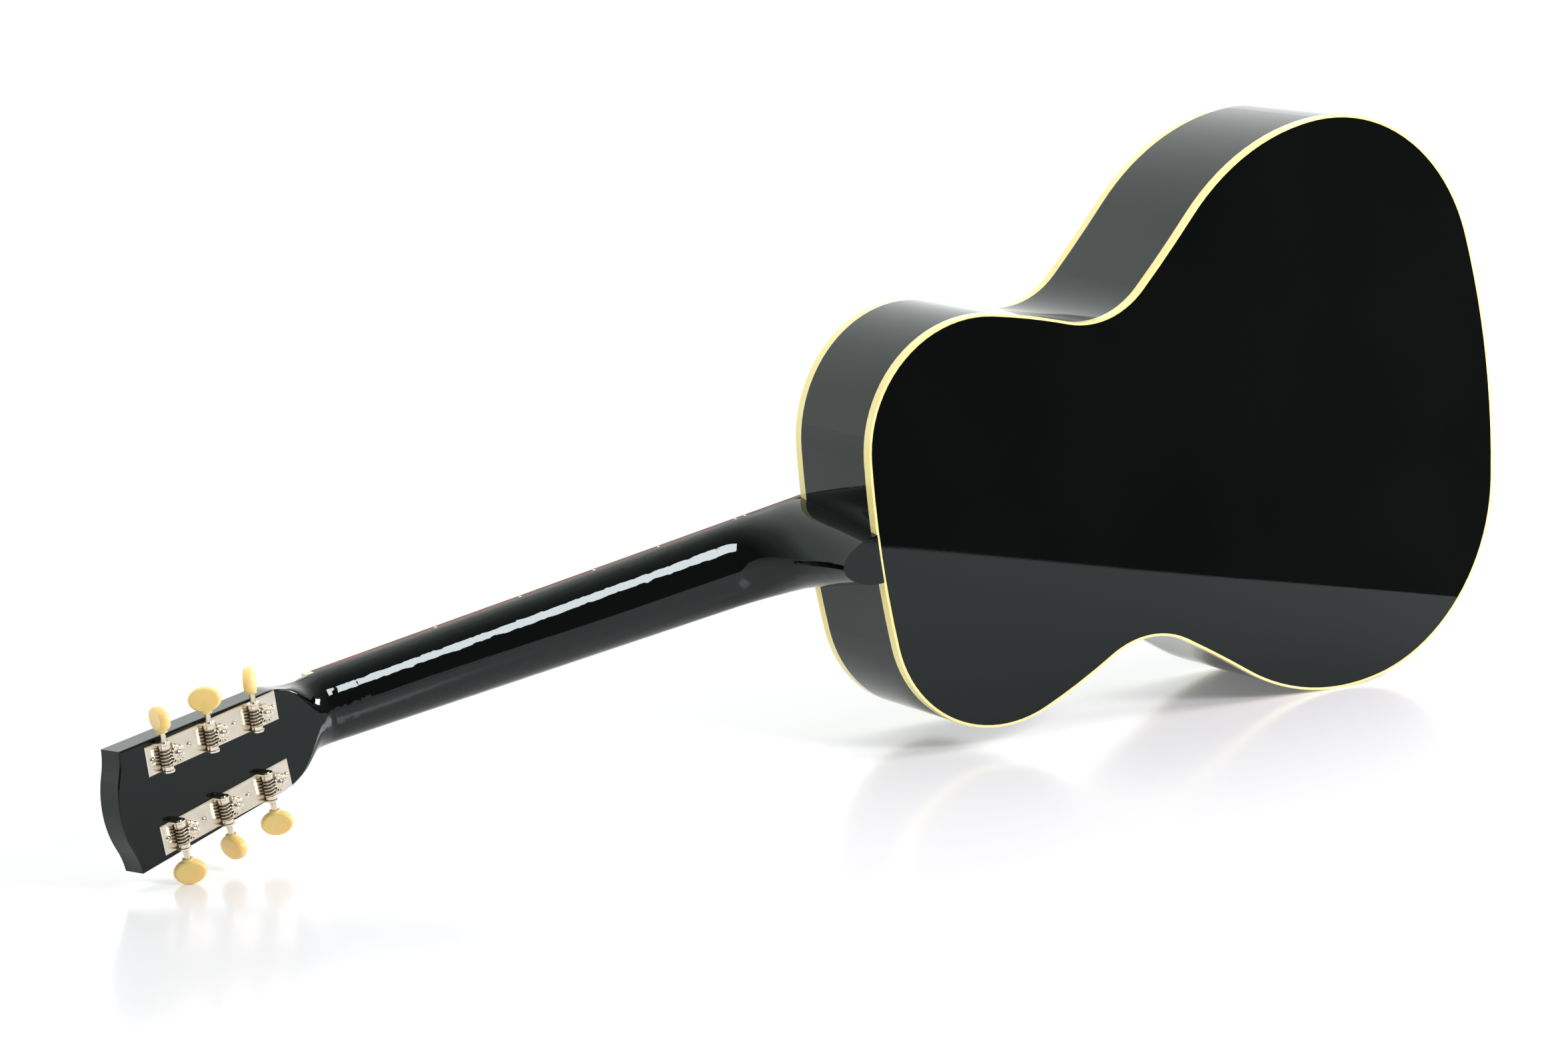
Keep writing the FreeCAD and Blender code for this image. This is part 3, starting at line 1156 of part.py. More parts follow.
def knob():
    """Oval button, thicker at the shaft; y runs outwards and z is square to its flat faces."""
    ball = Part.makeSphere(1.0)
    swell = FreeCAD.Matrix()
    swell.scale(knob_wide, knob_long, 1.75 * inner_half)
    oval = ball.transformGeometry(swell)
    wedge = Part.Face(Part.makePolygon([
        Vector(-20, -knob_long, -inner_half), Vector(-20, knob_long, -outer_half),
        Vector(-20, knob_long, outer_half), Vector(-20, -knob_long, inner_half),
        Vector(-20, -knob_long, -inner_half)])).extrude(ALONG * 40)
    collar = rod(inner_half - 0.2, Vector(0, -knob_long - 0.6, 0), Vector(0, 2.5 - knob_long, 0))
    button = oval.common(wedge).fuse(collar)
    bore_end = 5 - knob_long
    return button.cut(rod(size("shaft_radius"), Vector(0, -knob_long - 2, 0), Vector(0, bore_end, 0)))


knob_shape = knob()

for number in POSTS:
    side, place = POSTS[number]
    feature(f"worm_{number}", worm_shape, worm_frame(number))
    turn = Rotation(OUT, side * size(f"knob_turn_{number}"))
    seat = Placement(Vector(0, size("knob_offset"), 0), turn)
    feature(f"knob_{number}", knob_shape, worm_frame(number).multiply(seat))

    frame = post_frame(number)
    wheel = gear_shape.copy()
    wheel.translate(BASS * size("gear_height"))
    fixing = screw(size("gear_screw_radius"), gear_screw_core, 5.0, 15 + 50 * number)
    fixing.translate(BASS * GEAR_TOP)
    feature(f"gear_{number}", Part.makeCompound([wheel, fixing]), frame)

    post = body_at(f"post_{number}", frame)
    gear_bottom = "(sizes.gear_height - sizes.gear_thickness / 2)"
    gear_top = "(sizes.gear_height + sizes.gear_thickness / 2)"
    front = "(-sizes.head_wood - sizes.veneer - sizes.post_reach)"
    half_section = profile(post, f"post_half_section_{number}", "XZ_Plane", [
        ("0 mm", front), ("sizes.post_radius - 0.7", front), ("sizes.post_radius", f"{front} + 0.7"),
        ("sizes.post_radius", f"{front} + 2.6"), ("sizes.post_radius - 0.5", f"{front} + 3.4"),
        ("sizes.post_radius - 0.5", f"{front} + 8.4"), ("sizes.post_radius", f"{front} + 9.2"),
        ("sizes.post_radius", gear_bottom), ("sizes.gear_bore_radius", gear_bottom),
        ("sizes.gear_bore_radius", gear_top), ("0.9 mm", gear_top), ("0.9 mm", f"{gear_top} - 8"),
        ("0 mm", f"{gear_top} - 8")])
    revolve(post, half_section, f"post_turning_{number}")
    string_hole = circles(post, f"string_hole_view_{number}", "XZ_Plane",
                          [("0 mm", f"{front} + 4.2", "0.7 mm")])
    pocket_through(post, string_hole, f"string_hole_{number}")

# ---------------------------------------------------------------- strings


def string_solid(number):
    """One string from its bridge pin over saddle and nut to its turns round the post."""
    gauge = string_radius(number)
    at_pin = pin_axis(number) + Vector(-size("pin_head_radius") - 0.05, size("bridge_height") + gauge, 0)
    at_saddle = string_line(number, SADDLE_X)
    at_nut = string_line(number, -size("nut_length"))
    frame = post_frame(number)
    start = frame.inverse().multVec(at_nut)
    wrap_radius = size("post_radius") - 0.5 + 0.15 + gauge
    distance = math.hypot(start.x, start.y)
    bearing = math.atan2(start.y, start.x)
    inner = math.copysign(1, start.y)
    first = bearing - inner * math.acos(wrap_radius / distance)
    if math.copysign(1, math.sin(first)) != inner:
        first = bearing + inner * math.acos(wrap_radius / distance)
    touch = Vector(wrap_radius * math.cos(first), wrap_radius * math.sin(first), 0)
    direction = math.copysign(1, touch.x * (touch.y - start.y) - touch.y * (touch.x - start.x))
    height = FACE - size("post_reach") + 8.2 - gauge
    climb = 2 * gauge + 0.08
    turns = 2.5
    steps = int(turns * 12)
    coil = []
    for step in range(steps + 1):
        angle = first + direction * 2 * math.pi * turns * step / steps
        coil.append(Vector(wrap_radius * math.cos(angle), wrap_radius * math.sin(angle),
                           height - climb * turns * step / steps))
    path = Part.BSplineCurve()
    path.interpolate(coil)
    spine = Part.Wire([path.toShape()])
    section = Part.Wire([Part.Circle(coil[0], path.tangent(path.FirstParameter)[0], gauge).toShape()])
    wrap = spine.makePipeShell([section], True, True)
    lead = rod(gauge, start, coil[0])
    near_post = wrap.fuse(lead)
    near_post.Placement = frame
    return fuse_all([near_post, rod(gauge, at_nut, at_saddle), rod(gauge, at_saddle, at_pin)])


feature("plain_strings", Part.makeCompound([string_solid(1), string_solid(2)]))
feature("wound_strings", Part.makeCompound([string_solid(number) for number in (3, 4, 5, 6)]))

# ---------------------------------------------------------------- resting pose

doc.recompute()


def lowest(name, rotation):
    """Lowest point of a piece once the guitar is turned by rotation."""
    shape = pieces[name].Shape.copy()
    shape.Placement = Placement(ORIGIN, rotation).multiply(shape.Placement)
    return shape.optimalBoundingBox(False, False).ZMin


def resting_tilt():
    """Tilt at which the lower bout and the button nearest the tip touch the floor together."""
    low, high = 5.0, 15.0
    while high - low > 1e-4:
        middle = (low + high) / 2
        rotation = Rotation(OUT, -middle)
        if lowest("knob_3", rotation) < lowest("top_binding", rotation):
            high = middle
        else:
            low = middle
    return (low + high) / 2


rest_rotation = Rotation(OUT, -resting_tilt())
boxes = []
for piece in pieces.values():
    shape = piece.Shape.copy()
    shape.Placement = Placement(ORIGIN, rest_rotation).multiply(shape.Placement)
    boxes.append(shape.optimalBoundingBox(False, False))
shift = Vector(-(min(b.XMin for b in boxes) + max(b.XMax for b in boxes)) / 2,
               -(min(b.YMin for b in boxes) + max(b.YMax for b in boxes)) / 2,
               -min(b.ZMin for b in boxes))
REST = Placement(shift, rest_rotation)
for piece in pieces.values():
    piece.Placement = REST.multiply(piece.Placement)
doc.recompute()

# ---------------------------------------------------------------- checks and files

faults = [item.Name for item in doc.Objects if set(item.State) & {"Invalid", "Error"}]
for name, piece in pieces.items():
    if piece.Shape.isNull() or not piece.Shape.isValid():
        faults.append(name)
if faults:
    raise RuntimeError("unsound: " + ", ".join(faults))
for name, piece in pieces.items():
    piece.Shape.exportStep(f"parts/{name}.step")
print(len(pieces), "nodes, rest placement", REST)
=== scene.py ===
import json
import math

import bpy
from mathutils import Matrix, Vector


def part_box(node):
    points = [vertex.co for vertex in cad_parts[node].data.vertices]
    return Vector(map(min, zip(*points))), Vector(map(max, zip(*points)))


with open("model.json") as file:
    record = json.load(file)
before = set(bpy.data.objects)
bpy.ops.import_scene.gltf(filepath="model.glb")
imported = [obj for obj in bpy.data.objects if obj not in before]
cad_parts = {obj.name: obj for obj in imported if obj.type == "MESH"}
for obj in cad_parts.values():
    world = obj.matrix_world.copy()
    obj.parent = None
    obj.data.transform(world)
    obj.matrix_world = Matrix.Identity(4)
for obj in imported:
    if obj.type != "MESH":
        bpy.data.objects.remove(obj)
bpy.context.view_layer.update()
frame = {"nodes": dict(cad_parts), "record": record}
nodes = frame["nodes"]
record = frame["record"]

# ------------------------------------------------------------------ the guitar's own directions

mounts = {mount["name"]: mount for mount in record["mounts"]}
ALONG = Vector(mounts["strap_pin"]["axis"])        # nut to tail
TILT = math.atan2(ALONG.z, ALONG.x)                # how far the tail is lifted
STRINGS = range(1, 7)


def centre(node):
    low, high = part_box(node)
    return (low + high) / 2


HOLE = centre("rosette")

# ------------------------------------------------------------------ node-tree helpers


class Shader:
    """A material's node tree with one Principled shader, written as short calls."""

    def __init__(self, name):
        self.material = bpy.data.materials.new(name)
        self.material.use_nodes = True
        self.tree = self.material.node_tree
        self.tree.nodes.clear()
        self.output = self.tree.nodes.new("ShaderNodeOutputMaterial")
        self.surface = self.tree.nodes.new("ShaderNodeBsdfPrincipled")
        self.tree.links.new(self.surface.outputs["BSDF"], self.output.inputs["Surface"])

    def add(self, kind, settings=None, **inputs):
        """New node of a kind; settings are its properties and inputs its sockets, plain or linked."""
        node = self.tree.nodes.new(kind)
        for key, value in (settings or {}).items():
            setattr(node, key, value)
        for key, value in inputs.items():
            self.plug(node, key.replace("_", " "), value)
        return node

    def plug(self, node, name, value):
        socket = node.inputs[int(name)] if name.isdigit() else node.inputs[name]
        if isinstance(value, bpy.types.NodeSocket):
            self.tree.links.new(value, socket)
        else:
            socket.default_value = value

    def set(self, **inputs):
        for key, value in inputs.items():
            self.plug(self.surface, key.replace("_", " "), value)
        return self

    def guitar_coords(self, stretch=(1, 1, 1)):
        """Metres from the soundhole: x along the guitar, y out of its top, z to the bass side."""
        place = self.add("ShaderNodeTexCoord").outputs["Object"]
        local = self.add("ShaderNodeMapping", {"vector_type": "TEXTURE"}, Vector=place,
                         Location=tuple(HOLE), Rotation=(0, -TILT, 0))
        return self.add("ShaderNodeMapping", Vector=local.outputs["Vector"],
                        Scale=stretch).outputs["Vector"]

    def frame_coords(self, stretch=(1, 1, 1)):
        """Metres in the shared frame, for small pieces where the direction hardly matters."""
        place = self.add("ShaderNodeTexCoord").outputs["Object"]
        return self.add("ShaderNodeMapping", Vector=place, Scale=stretch).outputs["Vector"]

    def noise(self, vector, scale, detail=4.0, roughness=0.55, distortion=0.0):
        return self.add("ShaderNodeTexNoise", Vector=vector, Scale=scale, Detail=detail,
                        Roughness=roughness, Distortion=distortion).outputs["Fac"]

    def ramp(self, value, *stops):
        """Colour ramp; each stop is a position and a colour or a grey."""
        node = self.add("ShaderNodeValToRGB", Fac=value)
        elements = node.color_ramp.elements
        while len(elements) < len(stops):
            elements.new(1.0)
        for element, (position, colour) in zip(elements, stops):
            element.position = position
            element.color = (colour,) * 3 + (1,) if isinstance(colour, float) else tuple(colour) + (1,)
        return node.outputs["Color"]

    def span(self, value, low, high, from_low=0.0, from_high=1.0):
        """Value mapped from one range to another."""
        return self.add("ShaderNodeMapRange", {"clamp": True}, Value=value, From_Min=from_low,
                        From_Max=from_high, To_Min=low, To_Max=high).outputs["Result"]

    def math(self, operation, first, second=0.0, third=0.0):
        node = self.add("ShaderNodeMath", {"operation": operation})
        for index, value in enumerate((first, second, third)):
            self.plug(node, str(index), value)
        return node.outputs["Value"]

    def mix(self, factor, first, second, blend="MIX"):
        node = self.add("ShaderNodeMix", {"data_type": "RGBA", "blend_type": blend})
        for index, value in ((0, factor), (6, first), (7, second)):
            if isinstance(value, (tuple, list)):
                value = tuple(value) + (1,) if len(value) == 3 else tuple(value)
            self.plug(node, str(index), value)
        return node.outputs[2]

    def soft_edges(self, radius):
        """Surface direction as if the sharp edges were rounded by this radius."""
        return self.add("ShaderNodeBevel", {"samples": 8}, Radius=radius).outputs["Normal"]

    def bump(self, height, distance, strength=1.0, normal=None):
        node = self.add("ShaderNodeBump", Height=height, Distance=distance, Strength=strength)
        if normal is not None:
            self.plug(node, "Normal", normal)
        return node.outputs["Normal"]


# ------------------------------------------------------------------ materials

# Heights and radii are in metres: sunk pores and slow ripples of the lacquer, rounding of edges,
# and the rosette's width.
BODY_PORES, BODY_RIPPLE = 0.000001, 0.00001
NECK_PORES, NECK_RIPPLE = 0.000002, 0.000005
BUTTON_EDGE = 0.0016
METAL_EDGE = 0.0002
RING_WIDTH = 0.008


def rgb(red, green, blue):
    """Linear colour from the eight-bit values a monitor shows."""
    return tuple(((c / 255 + 0.055) / 1.055) ** 2.4 if c > 10 else c / 255 / 12.92
                 for c in (red, green, blue))


def black_lacquer(name, pore_depth, ripple):
    """Polished black lacquer over wood: a near mirror with slow ripples, sunk pores and buffing haze."""
    s = Shader(name)
    pores = s.noise(s.guitar_coords((1, 22, 22)), 70, 8, 0.62)
    broad = s.noise(s.guitar_coords(), 9, 2, 0.4)
    fine = s.noise(s.guitar_coords(), 900, 3, 0.6)
    haze = s.noise(s.guitar_coords(), 60, 6, 0.75, 0.6)
    base = s.mix(s.span(broad, 0, 1, 0.35, 0.65), (0.0006, 0.0009, 0.0009), (0.0014, 0.0018, 0.0017))
    skin = s.bump(s.math("ADD", broad, s.math("MULTIPLY", fine, 0.002)), ripple)
    sunk = s.bump(s.ramp(pores, (0.36, 0.0), (0.6, 1.0)), pore_depth, 0.5, skin)
    s.set(Base_Color=base, Roughness=s.span(haze, 0.004, 0.014, 0.35, 0.75), IOR=1.42,
          Specular_Tint=(0.86, 1.0, 0.955, 1.0), Normal=sunk)
    return s.material


def binding_plastic(name):
    """Aged cream binding under lacquer, uneven in colour, with faint lines where it is scraped."""
    s = Shader(name)
    coords = s.guitar_coords()
    drift = s.noise(coords, 14, 3, 0.5)
    streak = s.noise(s.guitar_coords((3, 60, 3)), 40, 5, 0.6)
    tone = s.mix(s.span(drift, 0, 1, 0.3, 0.7), rgb(255, 231, 141), rgb(255, 242, 168))
    tone = s.mix(s.span(streak, 0.0, 0.16, 0.4, 0.75), tone, rgb(224, 198, 118))
    s.set(Base_Color=tone, Roughness=s.span(streak, 0.12, 0.26), Subsurface_Weight=0.2,
          Subsurface_Radius=(0.004, 0.0028, 0.0015), Subsurface_Scale=0.4,
          Coat_Weight=0.7, Coat_Roughness=0.04, Normal=s.bump(streak, 0.00004, 0.5))
    return s.material


def ivoroid(name, seed):
    """Yellowed, slightly translucent plastic of the tuner buttons, with cloudy grain and soft wear."""
    s = Shader(name)
    place = s.add("ShaderNodeTexCoord").outputs["Object"]
    coords = s.add("ShaderNodeMapping", Vector=place,
                   Location=(seed * 0.37, seed * 0.11, 0)).outputs["Vector"]
    cloud = s.noise(coords, 70, 4, 0.55, 0.4)
    grain = s.add("ShaderNodeTexWave", {"wave_type": "BANDS", "bands_direction": "Z"}, Vector=coords,
                  Scale=190.0, Distortion=5.0, Detail=3.0, Detail_Scale=1.2).outputs["Fac"]
    base = s.mix(s.span(cloud, 0, 1, 0.25, 0.75), rgb(255, 212, 126), rgb(255, 226, 150))
    base = s.mix(s.span(grain, 0.0, 0.05), base, rgb(240, 190, 104))
    grime = s.ramp(s.noise(coords, 320, 5, 0.7), (0.32, 1.0), (0.44, 0.0))
    base = s.mix(s.math("MULTIPLY", grime, 0.05), base, rgb(150, 104, 52))
    height = s.math("ADD", cloud, s.math("MULTIPLY", grain, 0.1))
    s.set(Base_Color=base, Roughness=s.span(cloud, 0.3, 0.44), IOR=1.5, Subsurface_Weight=0.5,
          Subsurface_Radius=(0.009, 0.005, 0.002), Subsurface_Scale=0.55,
          Coat_Weight=0.2, Coat_Roughness=0.16,
          Normal=s.bump(height, 0.00002, 0.5, s.soft_edges(BUTTON_EDGE)))
    return s.material


def nickel(name, brushed=(1, 1, 1), polish=0.14, hollow_tarnish_and_shade=0.35):
    """Nickel plate: warm metal with fine handling marks, darker in hollows from tarnish and painted
    shade, and lighter on edges from wear and a painted highlight.
    """
    s = Shader(name)
    coords = s.frame_coords()
    cloud = s.noise(coords, 120, 5, 0.6)
    hair = s.noise(s.frame_coords(brushed), 900, 6, 0.7)
    edge = s.add("ShaderNodeNewGeometry").outputs["Pointiness"]
    # Pointiness above its middle picks out convex edges, below it hollows.
    edge_wear_and_highlight = s.span(edge, 0, 1, 0.5, 0.6)
    hollow = s.span(edge, 1, 0, 0.42, 0.5)
    tone = s.mix(s.span(cloud, 0, 1, 0.3, 0.7), rgb(224, 212, 190), rgb(240, 230, 212))
    # Hollows are darkened in colour: tarnish, and painted shade where the gaps between parts fall dark.
    tone = s.mix(s.math("MULTIPLY", hollow, hollow_tarnish_and_shade), tone, rgb(74, 60, 44))
    # Edges are lightened in colour: wear, and a painted highlight on the rims.
    tone = s.mix(s.math("MULTIPLY", edge_wear_and_highlight, 0.4), tone, rgb(246, 242, 232))
    rough = s.math("ADD", s.span(cloud, polish, polish + 0.05, 0.3, 0.75), s.span(hair, -0.015, 0.02))
    height = s.math("ADD", hair, s.math("MULTIPLY", cloud, 2.0))
    s.set(Base_Color=tone, Metallic=1.0, Roughness=s.math("MAXIMUM", rough, 0.05),
          Normal=s.bump(height, 0.000003, 0.5, s.soft_edges(METAL_EDGE)))
    return s.material


def rosewood(name):
    """Oiled rosewood: dark streaks, short open pores along the grain."""
    s = Shader(name)
    streaks = s.noise(s.guitar_coords((1, 14, 14)), 16, 6, 0.6, 0.8)
    pores = s.noise(s.guitar_coords((1, 26, 26)), 130, 6, 0.65)
    wood = s.ramp(streaks, (0.3, rgb(46, 22, 16)), (0.5, rgb(92, 46, 32)), (0.62, rgb(128, 70, 46)),
                  (0.72, rgb(70, 32, 22)))
    gaps = s.ramp(pores, (0.36, 1.0), (0.43, 0.0))
    wood = s.mix(s.math("MULTIPLY", gaps, 0.7), wood, rgb(20, 10, 8))
    s.set(Base_Color=wood, Roughness=s.span(streaks, 0.36, 0.5), Specular_IOR_Level=0.4,
          Normal=s.bump(s.math("SUBTRACT", 1.0, gaps), 0.00012, 0.8))
    return s.material


def bare_wood(name, light, dark, band, pore, ring_axis="Z"):
    """Unfinished timber: soft growth bands across the grain and fine fibres along it."""
    s = Shader(name)
    fibres = s.noise(s.guitar_coords((1, 30, 30)), 60, 6, 0.6)
    rings = s.add("ShaderNodeTexWave", {"wave_type": "BANDS", "bands_direction": ring_axis},
                  Vector=s.guitar_coords((0.06, 1, 1)), Scale=band, Distortion=1.4, Detail=3.0,
                  Detail_Scale=0.7).outputs["Fac"]
    wood = s.mix(s.span(rings, 0.05, 0.75), light, dark)
    wood = s.mix(s.span(fibres, 0.0, 0.35, 0.4, 0.7), wood, tuple(c * 0.6 for c in dark))
    s.set(Base_Color=wood, Roughness=s.span(fibres, 0.6, 0.75),
          Normal=s.bump(s.math("ADD", fibres, s.math("MULTIPLY", rings, 0.3)), pore, 0.7))
    return s.material


def bone(name):
    """Polished bone with faint hair-line pores and a little grime."""
    s = Shader(name)
    coords = s.guitar_coords((4, 4, 1))
    lines = s.noise(coords, 340, 5, 0.6)
    cloud = s.noise(s.guitar_coords(), 90, 3, 0.5)
    tone = s.mix(s.span(cloud, 0, 1, 0.3, 0.7), rgb(236, 226, 196), rgb(248, 241, 218))
    tone = s.mix(s.ramp(lines, (0.36, 0.35), (0.46, 0.0)), tone, rgb(176, 150, 104))
    s.set(Base_Color=tone, Roughness=s.span(cloud, 0.22, 0.36), Subsurface_Weight=0.3,
          Subsurface_Radius=(0.004, 0.003, 0.002), Subsurface_Scale=0.4,
          Normal=s.bump(lines, 0.00003, 0.6))
    return s.material


def pearloid(name):
    """Position dots: shifting silvery-cream flakes."""
    s = Shader(name)
    flakes = s.add("ShaderNodeTexVoronoi", {"feature": "F1"}, Vector=s.guitar_coords((1, 1, 2.2)),
                   Scale=900.0)
    shade = s.add("ShaderNodeSeparateColor", Color=flakes.outputs["Color"]).outputs["Red"]
    tone = s.mix(shade, rgb(214, 204, 178), rgb(250, 246, 232))
    s.set(Base_Color=tone, Roughness=s.span(shade, 0.18, 0.4), Coat_Weight=0.6, Coat_Roughness=0.08,
          Metallic=s.span(shade, 0.0, 0.25), Normal=s.bump(shade, 0.00002, 0.4))
    return s.material


def tortoise(name):
    """Dark celluloid: amber clouds in near-black brown, under a polished skin."""
    s = Shader(name)
    clouds = s.noise(s.guitar_coords(), 34, 5, 0.62, 1.4)
    tone = s.ramp(clouds, (0.4, rgb(22, 9, 6)), (0.52, rgb(70, 24, 12)), (0.6, rgb(158, 74, 26)),
                  (0.7, rgb(196, 110, 44)))
    s.set(Base_Color=tone, Roughness=0.22, Coat_Weight=0.8, Coat_Roughness=0.04,
          Normal=s.bump(s.noise(s.guitar_coords(), 20, 2), 0.0001, 0.3))
    return s.material


def black_plastic(name):
    """Black plastic with rubbed patches."""
    s = Shader(name)
    scuffs = s.noise(s.guitar_coords((3, 3, 1)), 420, 6, 0.75)
    s.set(Base_Color=s.mix(s.span(scuffs, 0.0, 1.0, 0.45, 0.8), rgb(14, 14, 14), rgb(34, 34, 33)),
          Roughness=s.span(scuffs, 0.2, 0.42),
          Normal=s.bump(s.noise(s.guitar_coords(), 60, 3), 0.00006, 0.4))
    return s.material


def fret_wire(name):
    """Nickel silver crowns, polished along the wire, with cross scratches where strings wear them."""
    s = Shader(name)
    hair = s.noise(s.guitar_coords((30, 30, 1)), 220, 5, 0.7)
    wear = s.noise(s.guitar_coords((1, 1, 14)), 90, 5, 0.6)
    tone = s.mix(s.span(wear, 0, 1, 0.35, 0.7), rgb(206, 200, 186), rgb(232, 228, 216))
    s.set(Base_Color=tone, Metallic=1.0, Roughness=s.span(hair, 0.14, 0.34),
          Normal=s.bump(hair, 0.00002, 0.5))
    return s.material


def string_wire(name, colour, dull, winding):
    """String: plain wire, or a core wound with fine wire whose turns catch the light, with painted shade
    in the gaps between the turns.
    """
    s = Shader(name)
    turns = s.add("ShaderNodeTexWave", {"wave_type": "BANDS", "bands_direction": "X"},
                  Vector=s.guitar_coords(), Scale=520.0).outputs["Fac"]
    cloud = s.noise(s.guitar_coords(), 60, 4, 0.6)
    tone = s.mix(s.span(cloud, 0, 1, 0.35, 0.7), colour, dull)
    # The gaps between the winding's turns are darkened in colour: painted shade between the turns.
    gaps = s.math("MULTIPLY", s.math("SUBTRACT", 1.0, turns), 0.45 * winding)
    tone = s.mix(gaps, tone, rgb(60, 44, 28))
    s.set(Base_Color=tone, Metallic=1.0, Roughness=s.span(cloud, 0.2, 0.36),
          Normal=s.bump(turns, 0.00012 * winding + 0.000001, 0.9))
    return s.material


def rosette_rings(name):
    """Concentric cream and black rings, found by distance from the soundhole's centre."""
    s = Shader(name)
    coords = s.guitar_coords()
    parts = s.add("ShaderNodeSeparateXYZ", Vector=coords)
    flat = s.add("ShaderNodeCombineXYZ", X=parts.outputs["X"], Z=parts.outputs["Z"]).outputs["Vector"]
    length = s.add("ShaderNodeVectorMath", {"operation": "LENGTH"}, Vector=flat)
    low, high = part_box("rosette")
    outer = (high.x - low.x) / 2
    share = s.span(length.outputs["Value"], 0, 1, outer - RING_WIDTH, outer)
    cream = rgb(240, 226, 180)
    black = rgb(14, 14, 14)
    tone = s.ramp(share, (0.0, black), (0.08, cream), (0.2, black), (0.3, cream), (0.38, black),
                  (0.62, cream), (0.7, black), (0.8, cream), (0.92, black))
    for node in s.tree.nodes:
        if node.bl_idname == "ShaderNodeValToRGB":
            node.color_ramp.interpolation = "CONSTANT"
    grain = s.noise(coords, 300, 4, 0.6)
    s.set(Base_Color=s.mix(s.span(grain, 0.0, 0.12), tone, rgb(120, 90, 50)),
          Roughness=s.span(grain, 0.1, 0.2), Coat_Weight=1.0, Coat_Roughness=0.03,
          Normal=s.bump(grain, 0.00001, 0.3))
    return s.material


def plain_steel(name):
    """Drawn steel rod with lengthwise scratches."""
    s = Shader(name)
    hair = s.noise(s.guitar_coords((1, 40, 40)), 120, 5, 0.7)
    s.set(Base_Color=s.mix(hair, rgb(120, 118, 114), rgb(168, 166, 160)), Metallic=1.0,
          Roughness=s.span(hair, 0.3, 0.5), Normal=s.bump(hair, 0.00002, 0.5))
    return s.material


# ------------------------------------------------------------------ materials onto the CAD nodes

SPRUCE = (rgb(226, 196, 144), rgb(200, 158, 98))
MAHOGANY = (rgb(170, 104, 66), rgb(120, 66, 40))
MAPLE = (rgb(224, 196, 150), rgb(198, 162, 110))

TUNER_PARTS = [f"{part}_{number}" for part in ("worm", "gear", "post") for number in STRINGS]

finishes = {
    black_lacquer("body_lacquer", BODY_PORES, BODY_RIPPLE): ["back_plate", "rib_bass", "rib_treble"],
    black_lacquer("soundboard_lacquer", BODY_PORES, BODY_RIPPLE): ["top_plate"],
    black_lacquer("neck_lacquer", NECK_PORES, NECK_RIPPLE): ["neck"],
    black_lacquer("head_face_lacquer", NECK_PORES, NECK_RIPPLE): ["headstock_veneer"],
    binding_plastic("cream_binding"): ["top_binding", "back_binding"],
    rosette_rings("rosette_rings"): ["rosette"],
    bare_wood("bare_mahogany", *MAHOGANY, 60, 0.0002): ["neck_block", "tail_block", "top_linings",
                                                        "back_linings"],
    bare_wood("bare_spruce", *SPRUCE, 240, 0.0001): ["x_brace", "top_braces", "back_braces",
                                                     "back_centre_strip"],
    bare_wood("bare_maple", *MAPLE, 90, 0.00008): ["bridge_plate"],
    rosewood("rosewood"): ["fingerboard", "bridge"],
    pearloid("pearl_dots"): ["position_dots"],
    bone("bone"): ["nut", "saddle"],
    bone("pin_plastic"): ["bridge_pins", "end_pin"],
    tortoise("tortoise_guard"): ["pickguard"],
    black_plastic("black_plastic"): ["truss_rod_cover"],
    fret_wire("fret_wire"): ["frets"],
    nickel("plate_nickel", (1, 1, 12), 0.2, 0.3): ["tuner_plate_bass", "tuner_plate_treble"],
    nickel("small_nickel"): ["plate_screws", "cover_screws", "post_bushings"],
    nickel("gear_nickel", (1, 1, 1), 0.1, 0.8): TUNER_PARTS,
    plain_steel("rod_steel"): ["truss_rod"],
    string_wire("plain_string", rgb(210, 208, 202), rgb(160, 156, 148), 0.0): ["plain_strings"],
    string_wire("bronze_string", rgb(208, 158, 92), rgb(150, 104, 56), 1.0): ["wound_strings"],
}
for number in STRINGS:
    finishes[ivoroid(f"ivoroid_{number}", number)] = [f"knob_{number}"]
for material, names in finishes.items():
    for name in names:
        nodes[name].data.materials.clear()
        nodes[name].data.materials.append(material)

# ------------------------------------------------------------------ floor, light and camera

# The table's right-hand edge, as a point and a direction on the floor. What lies past it shows to
# the camera but not in the lacquer, which mirrors the dark room there.
EDGE_POINT = Vector((0.26, -0.57, 0.0))
EDGE_ALONG = Vector((0.648, 0.762, 0.0)).normalized()
EDGE_INWARD = Vector((-EDGE_ALONG.y, EDGE_ALONG.x, 0.0))
REACH = 9.0
TABLE_ALBEDO, TABLE_GLOW = 0.75, 0.15

SOFTBOX_COLOUR = (0.97, 0.93, 1.0)

# Brightness of the room by direction, from straight away from the backdrop (0) to its middle (1).
BACKDROP = Vector((-0.15, 0.92, 0.36)).normalized()
ROOM_STOPS = ((0.2, 0.08), (0.42, 0.24), (0.62, 0.5), (0.78, 0.92), (1.0, 0.9))
ROOM_TINT = (0.97, 1.0, 0.985)
ROOM_STRENGTH = 1.6


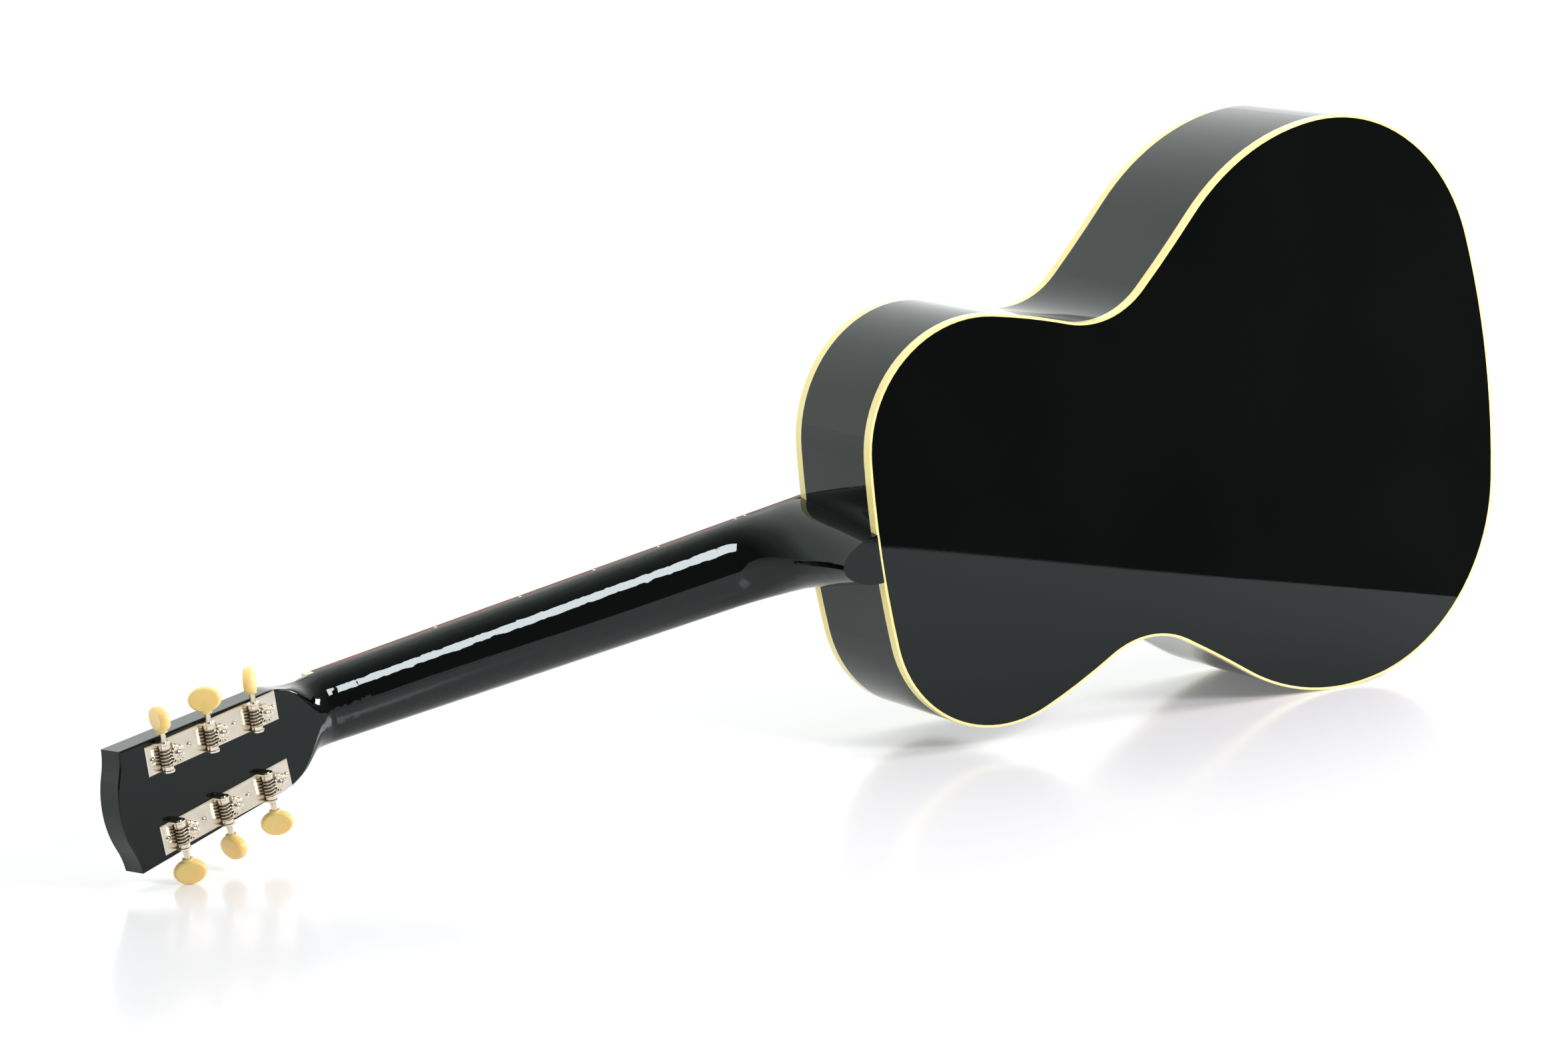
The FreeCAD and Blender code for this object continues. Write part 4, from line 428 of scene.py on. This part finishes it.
def floor_sheet(name, inward, albedo, glow):
    """Flat pale sheet on one side of the table's edge, with faint mottling and a soft gloss."""
    corners = [EDGE_POINT + EDGE_ALONG * along + EDGE_INWARD * across
               for along, across in ((-REACH, 0), (REACH, 0), (REACH, inward), (-REACH, inward))]
    mesh = bpy.data.meshes.new(name)
    mesh.from_pydata(corners, [], [(0, 1, 2, 3) if inward > 0 else (3, 2, 1, 0)])
    sheet = bpy.data.objects.new(name, mesh)
    bpy.context.scene.collection.objects.link(sheet)
    s = Shader(name)
    cloud = s.noise(s.add("ShaderNodeTexCoord").outputs["Object"], 3.0, 4, 0.5)
    s.set(Base_Color=s.mix(cloud, (albedo - 0.02,) * 3, (albedo + 0.02,) * 3),
          Roughness=s.span(cloud, 0.14, 0.2), IOR=1.45, Emission_Color=(1.0, 1.0, 1.0, 1.0),
          Emission_Strength=glow)
    mesh.materials.append(s.material)
    return sheet


def softbox(name, place, aim, width, height, power):
    """Rectangular area light at a place, turned to its aim."""
    light = bpy.data.lights.new(name, "AREA")
    light.shape = "RECTANGLE"
    light.size = width
    light.size_y = height
    light.energy = power
    light.color = SOFTBOX_COLOUR
    lamp = bpy.data.objects.new(name, light)
    lamp.location = place
    lamp.rotation_euler = (Vector(aim) - Vector(place)).to_track_quat("-Z", "Y").to_euler()
    bpy.context.scene.collection.objects.link(lamp)


def studio_world():
    """Room light by direction: bright backdrop behind the guitar, dark room in front of it."""
    world = bpy.data.worlds.new("studio")
    world.use_nodes = True
    tree = world.node_tree
    place = tree.nodes.new("ShaderNodeTexCoord")
    dot = tree.nodes.new("ShaderNodeVectorMath")
    dot.operation = "DOT_PRODUCT"
    dot.inputs[1].default_value = BACKDROP
    tree.links.new(place.outputs["Generated"], dot.inputs[0])
    half = tree.nodes.new("ShaderNodeMath")
    half.operation = "MULTIPLY_ADD"
    half.inputs[1].default_value = 0.5
    half.inputs[2].default_value = 0.5
    tree.links.new(dot.outputs["Value"], half.inputs[0])
    ramp = tree.nodes.new("ShaderNodeValToRGB")
    elements = ramp.color_ramp.elements
    while len(elements) < len(ROOM_STOPS):
        elements.new(1.0)
    for element, (position, grey) in zip(elements, ROOM_STOPS):
        element.position = position
        element.color = tuple(grey * share for share in ROOM_TINT) + (1.0,)
    tree.links.new(half.outputs["Value"], ramp.inputs["Fac"])
    background = tree.nodes["Background"]
    background.inputs["Strength"].default_value = ROOM_STRENGTH
    tree.links.new(ramp.outputs["Color"], background.inputs["Color"])
    # Seen directly, the room is a plain white backdrop.
    plain = tree.nodes.new("ShaderNodeBackground")
    plain.inputs["Color"].default_value = (1.0, 1.0, 1.0, 1.0)
    path = tree.nodes.new("ShaderNodeLightPath")
    blend = tree.nodes.new("ShaderNodeMixShader")
    tree.links.new(path.outputs["Is Camera Ray"], blend.inputs[0])
    tree.links.new(background.outputs["Background"], blend.inputs[1])
    tree.links.new(plain.outputs["Background"], blend.inputs[2])
    tree.links.new(blend.outputs["Shader"], tree.nodes["World Output"].inputs["Surface"])
    bpy.context.scene.world = world


floor_sheet("white_table", REACH, TABLE_ALBEDO, TABLE_GLOW)
floor_sheet("pale_floor", -REACH, TABLE_ALBEDO, TABLE_GLOW).visible_glossy = False
softbox("front_softbox", (0.47, -1.40, 1.06), (-0.19, 0.03, 0.11), 0.5, 0.55, 22)
softbox("side_softbox", (1.25, -0.42, 0.55), (-0.35, 0.02, 0.08), 0.4, 0.35, 11)
studio_world()
bpy.context.scene.view_settings.view_transform = "Standard"

# The photograph's viewpoint, solved from the guitar's outline: place in metres, then its aim.
CAMERA_PLACE = Vector((-1.445, -2.052, 0.639))
CAMERA_HEADING = math.radians(34.4)
CAMERA_PITCH = math.radians(-11.07)
CAMERA_ROLL = math.radians(-0.76)
LENS_MM, SENSOR_MM = 95.8, 36.0
camera = bpy.data.cameras.new("photo_camera")
camera.lens = LENS_MM
camera.sensor_width = SENSOR_MM
camera.clip_end = 30.0
viewer = bpy.data.objects.new("photo_camera", camera)
look = Matrix.Rotation(-CAMERA_HEADING, 4, "Z") @ Matrix.Rotation(math.pi / 2 + CAMERA_PITCH, 4, "X")
viewer.matrix_world = Matrix.Translation(CAMERA_PLACE) @ look @ Matrix.Rotation(CAMERA_ROLL, 4, "Z")
bpy.context.scene.collection.objects.link(viewer)
bpy.context.scene.camera = viewer
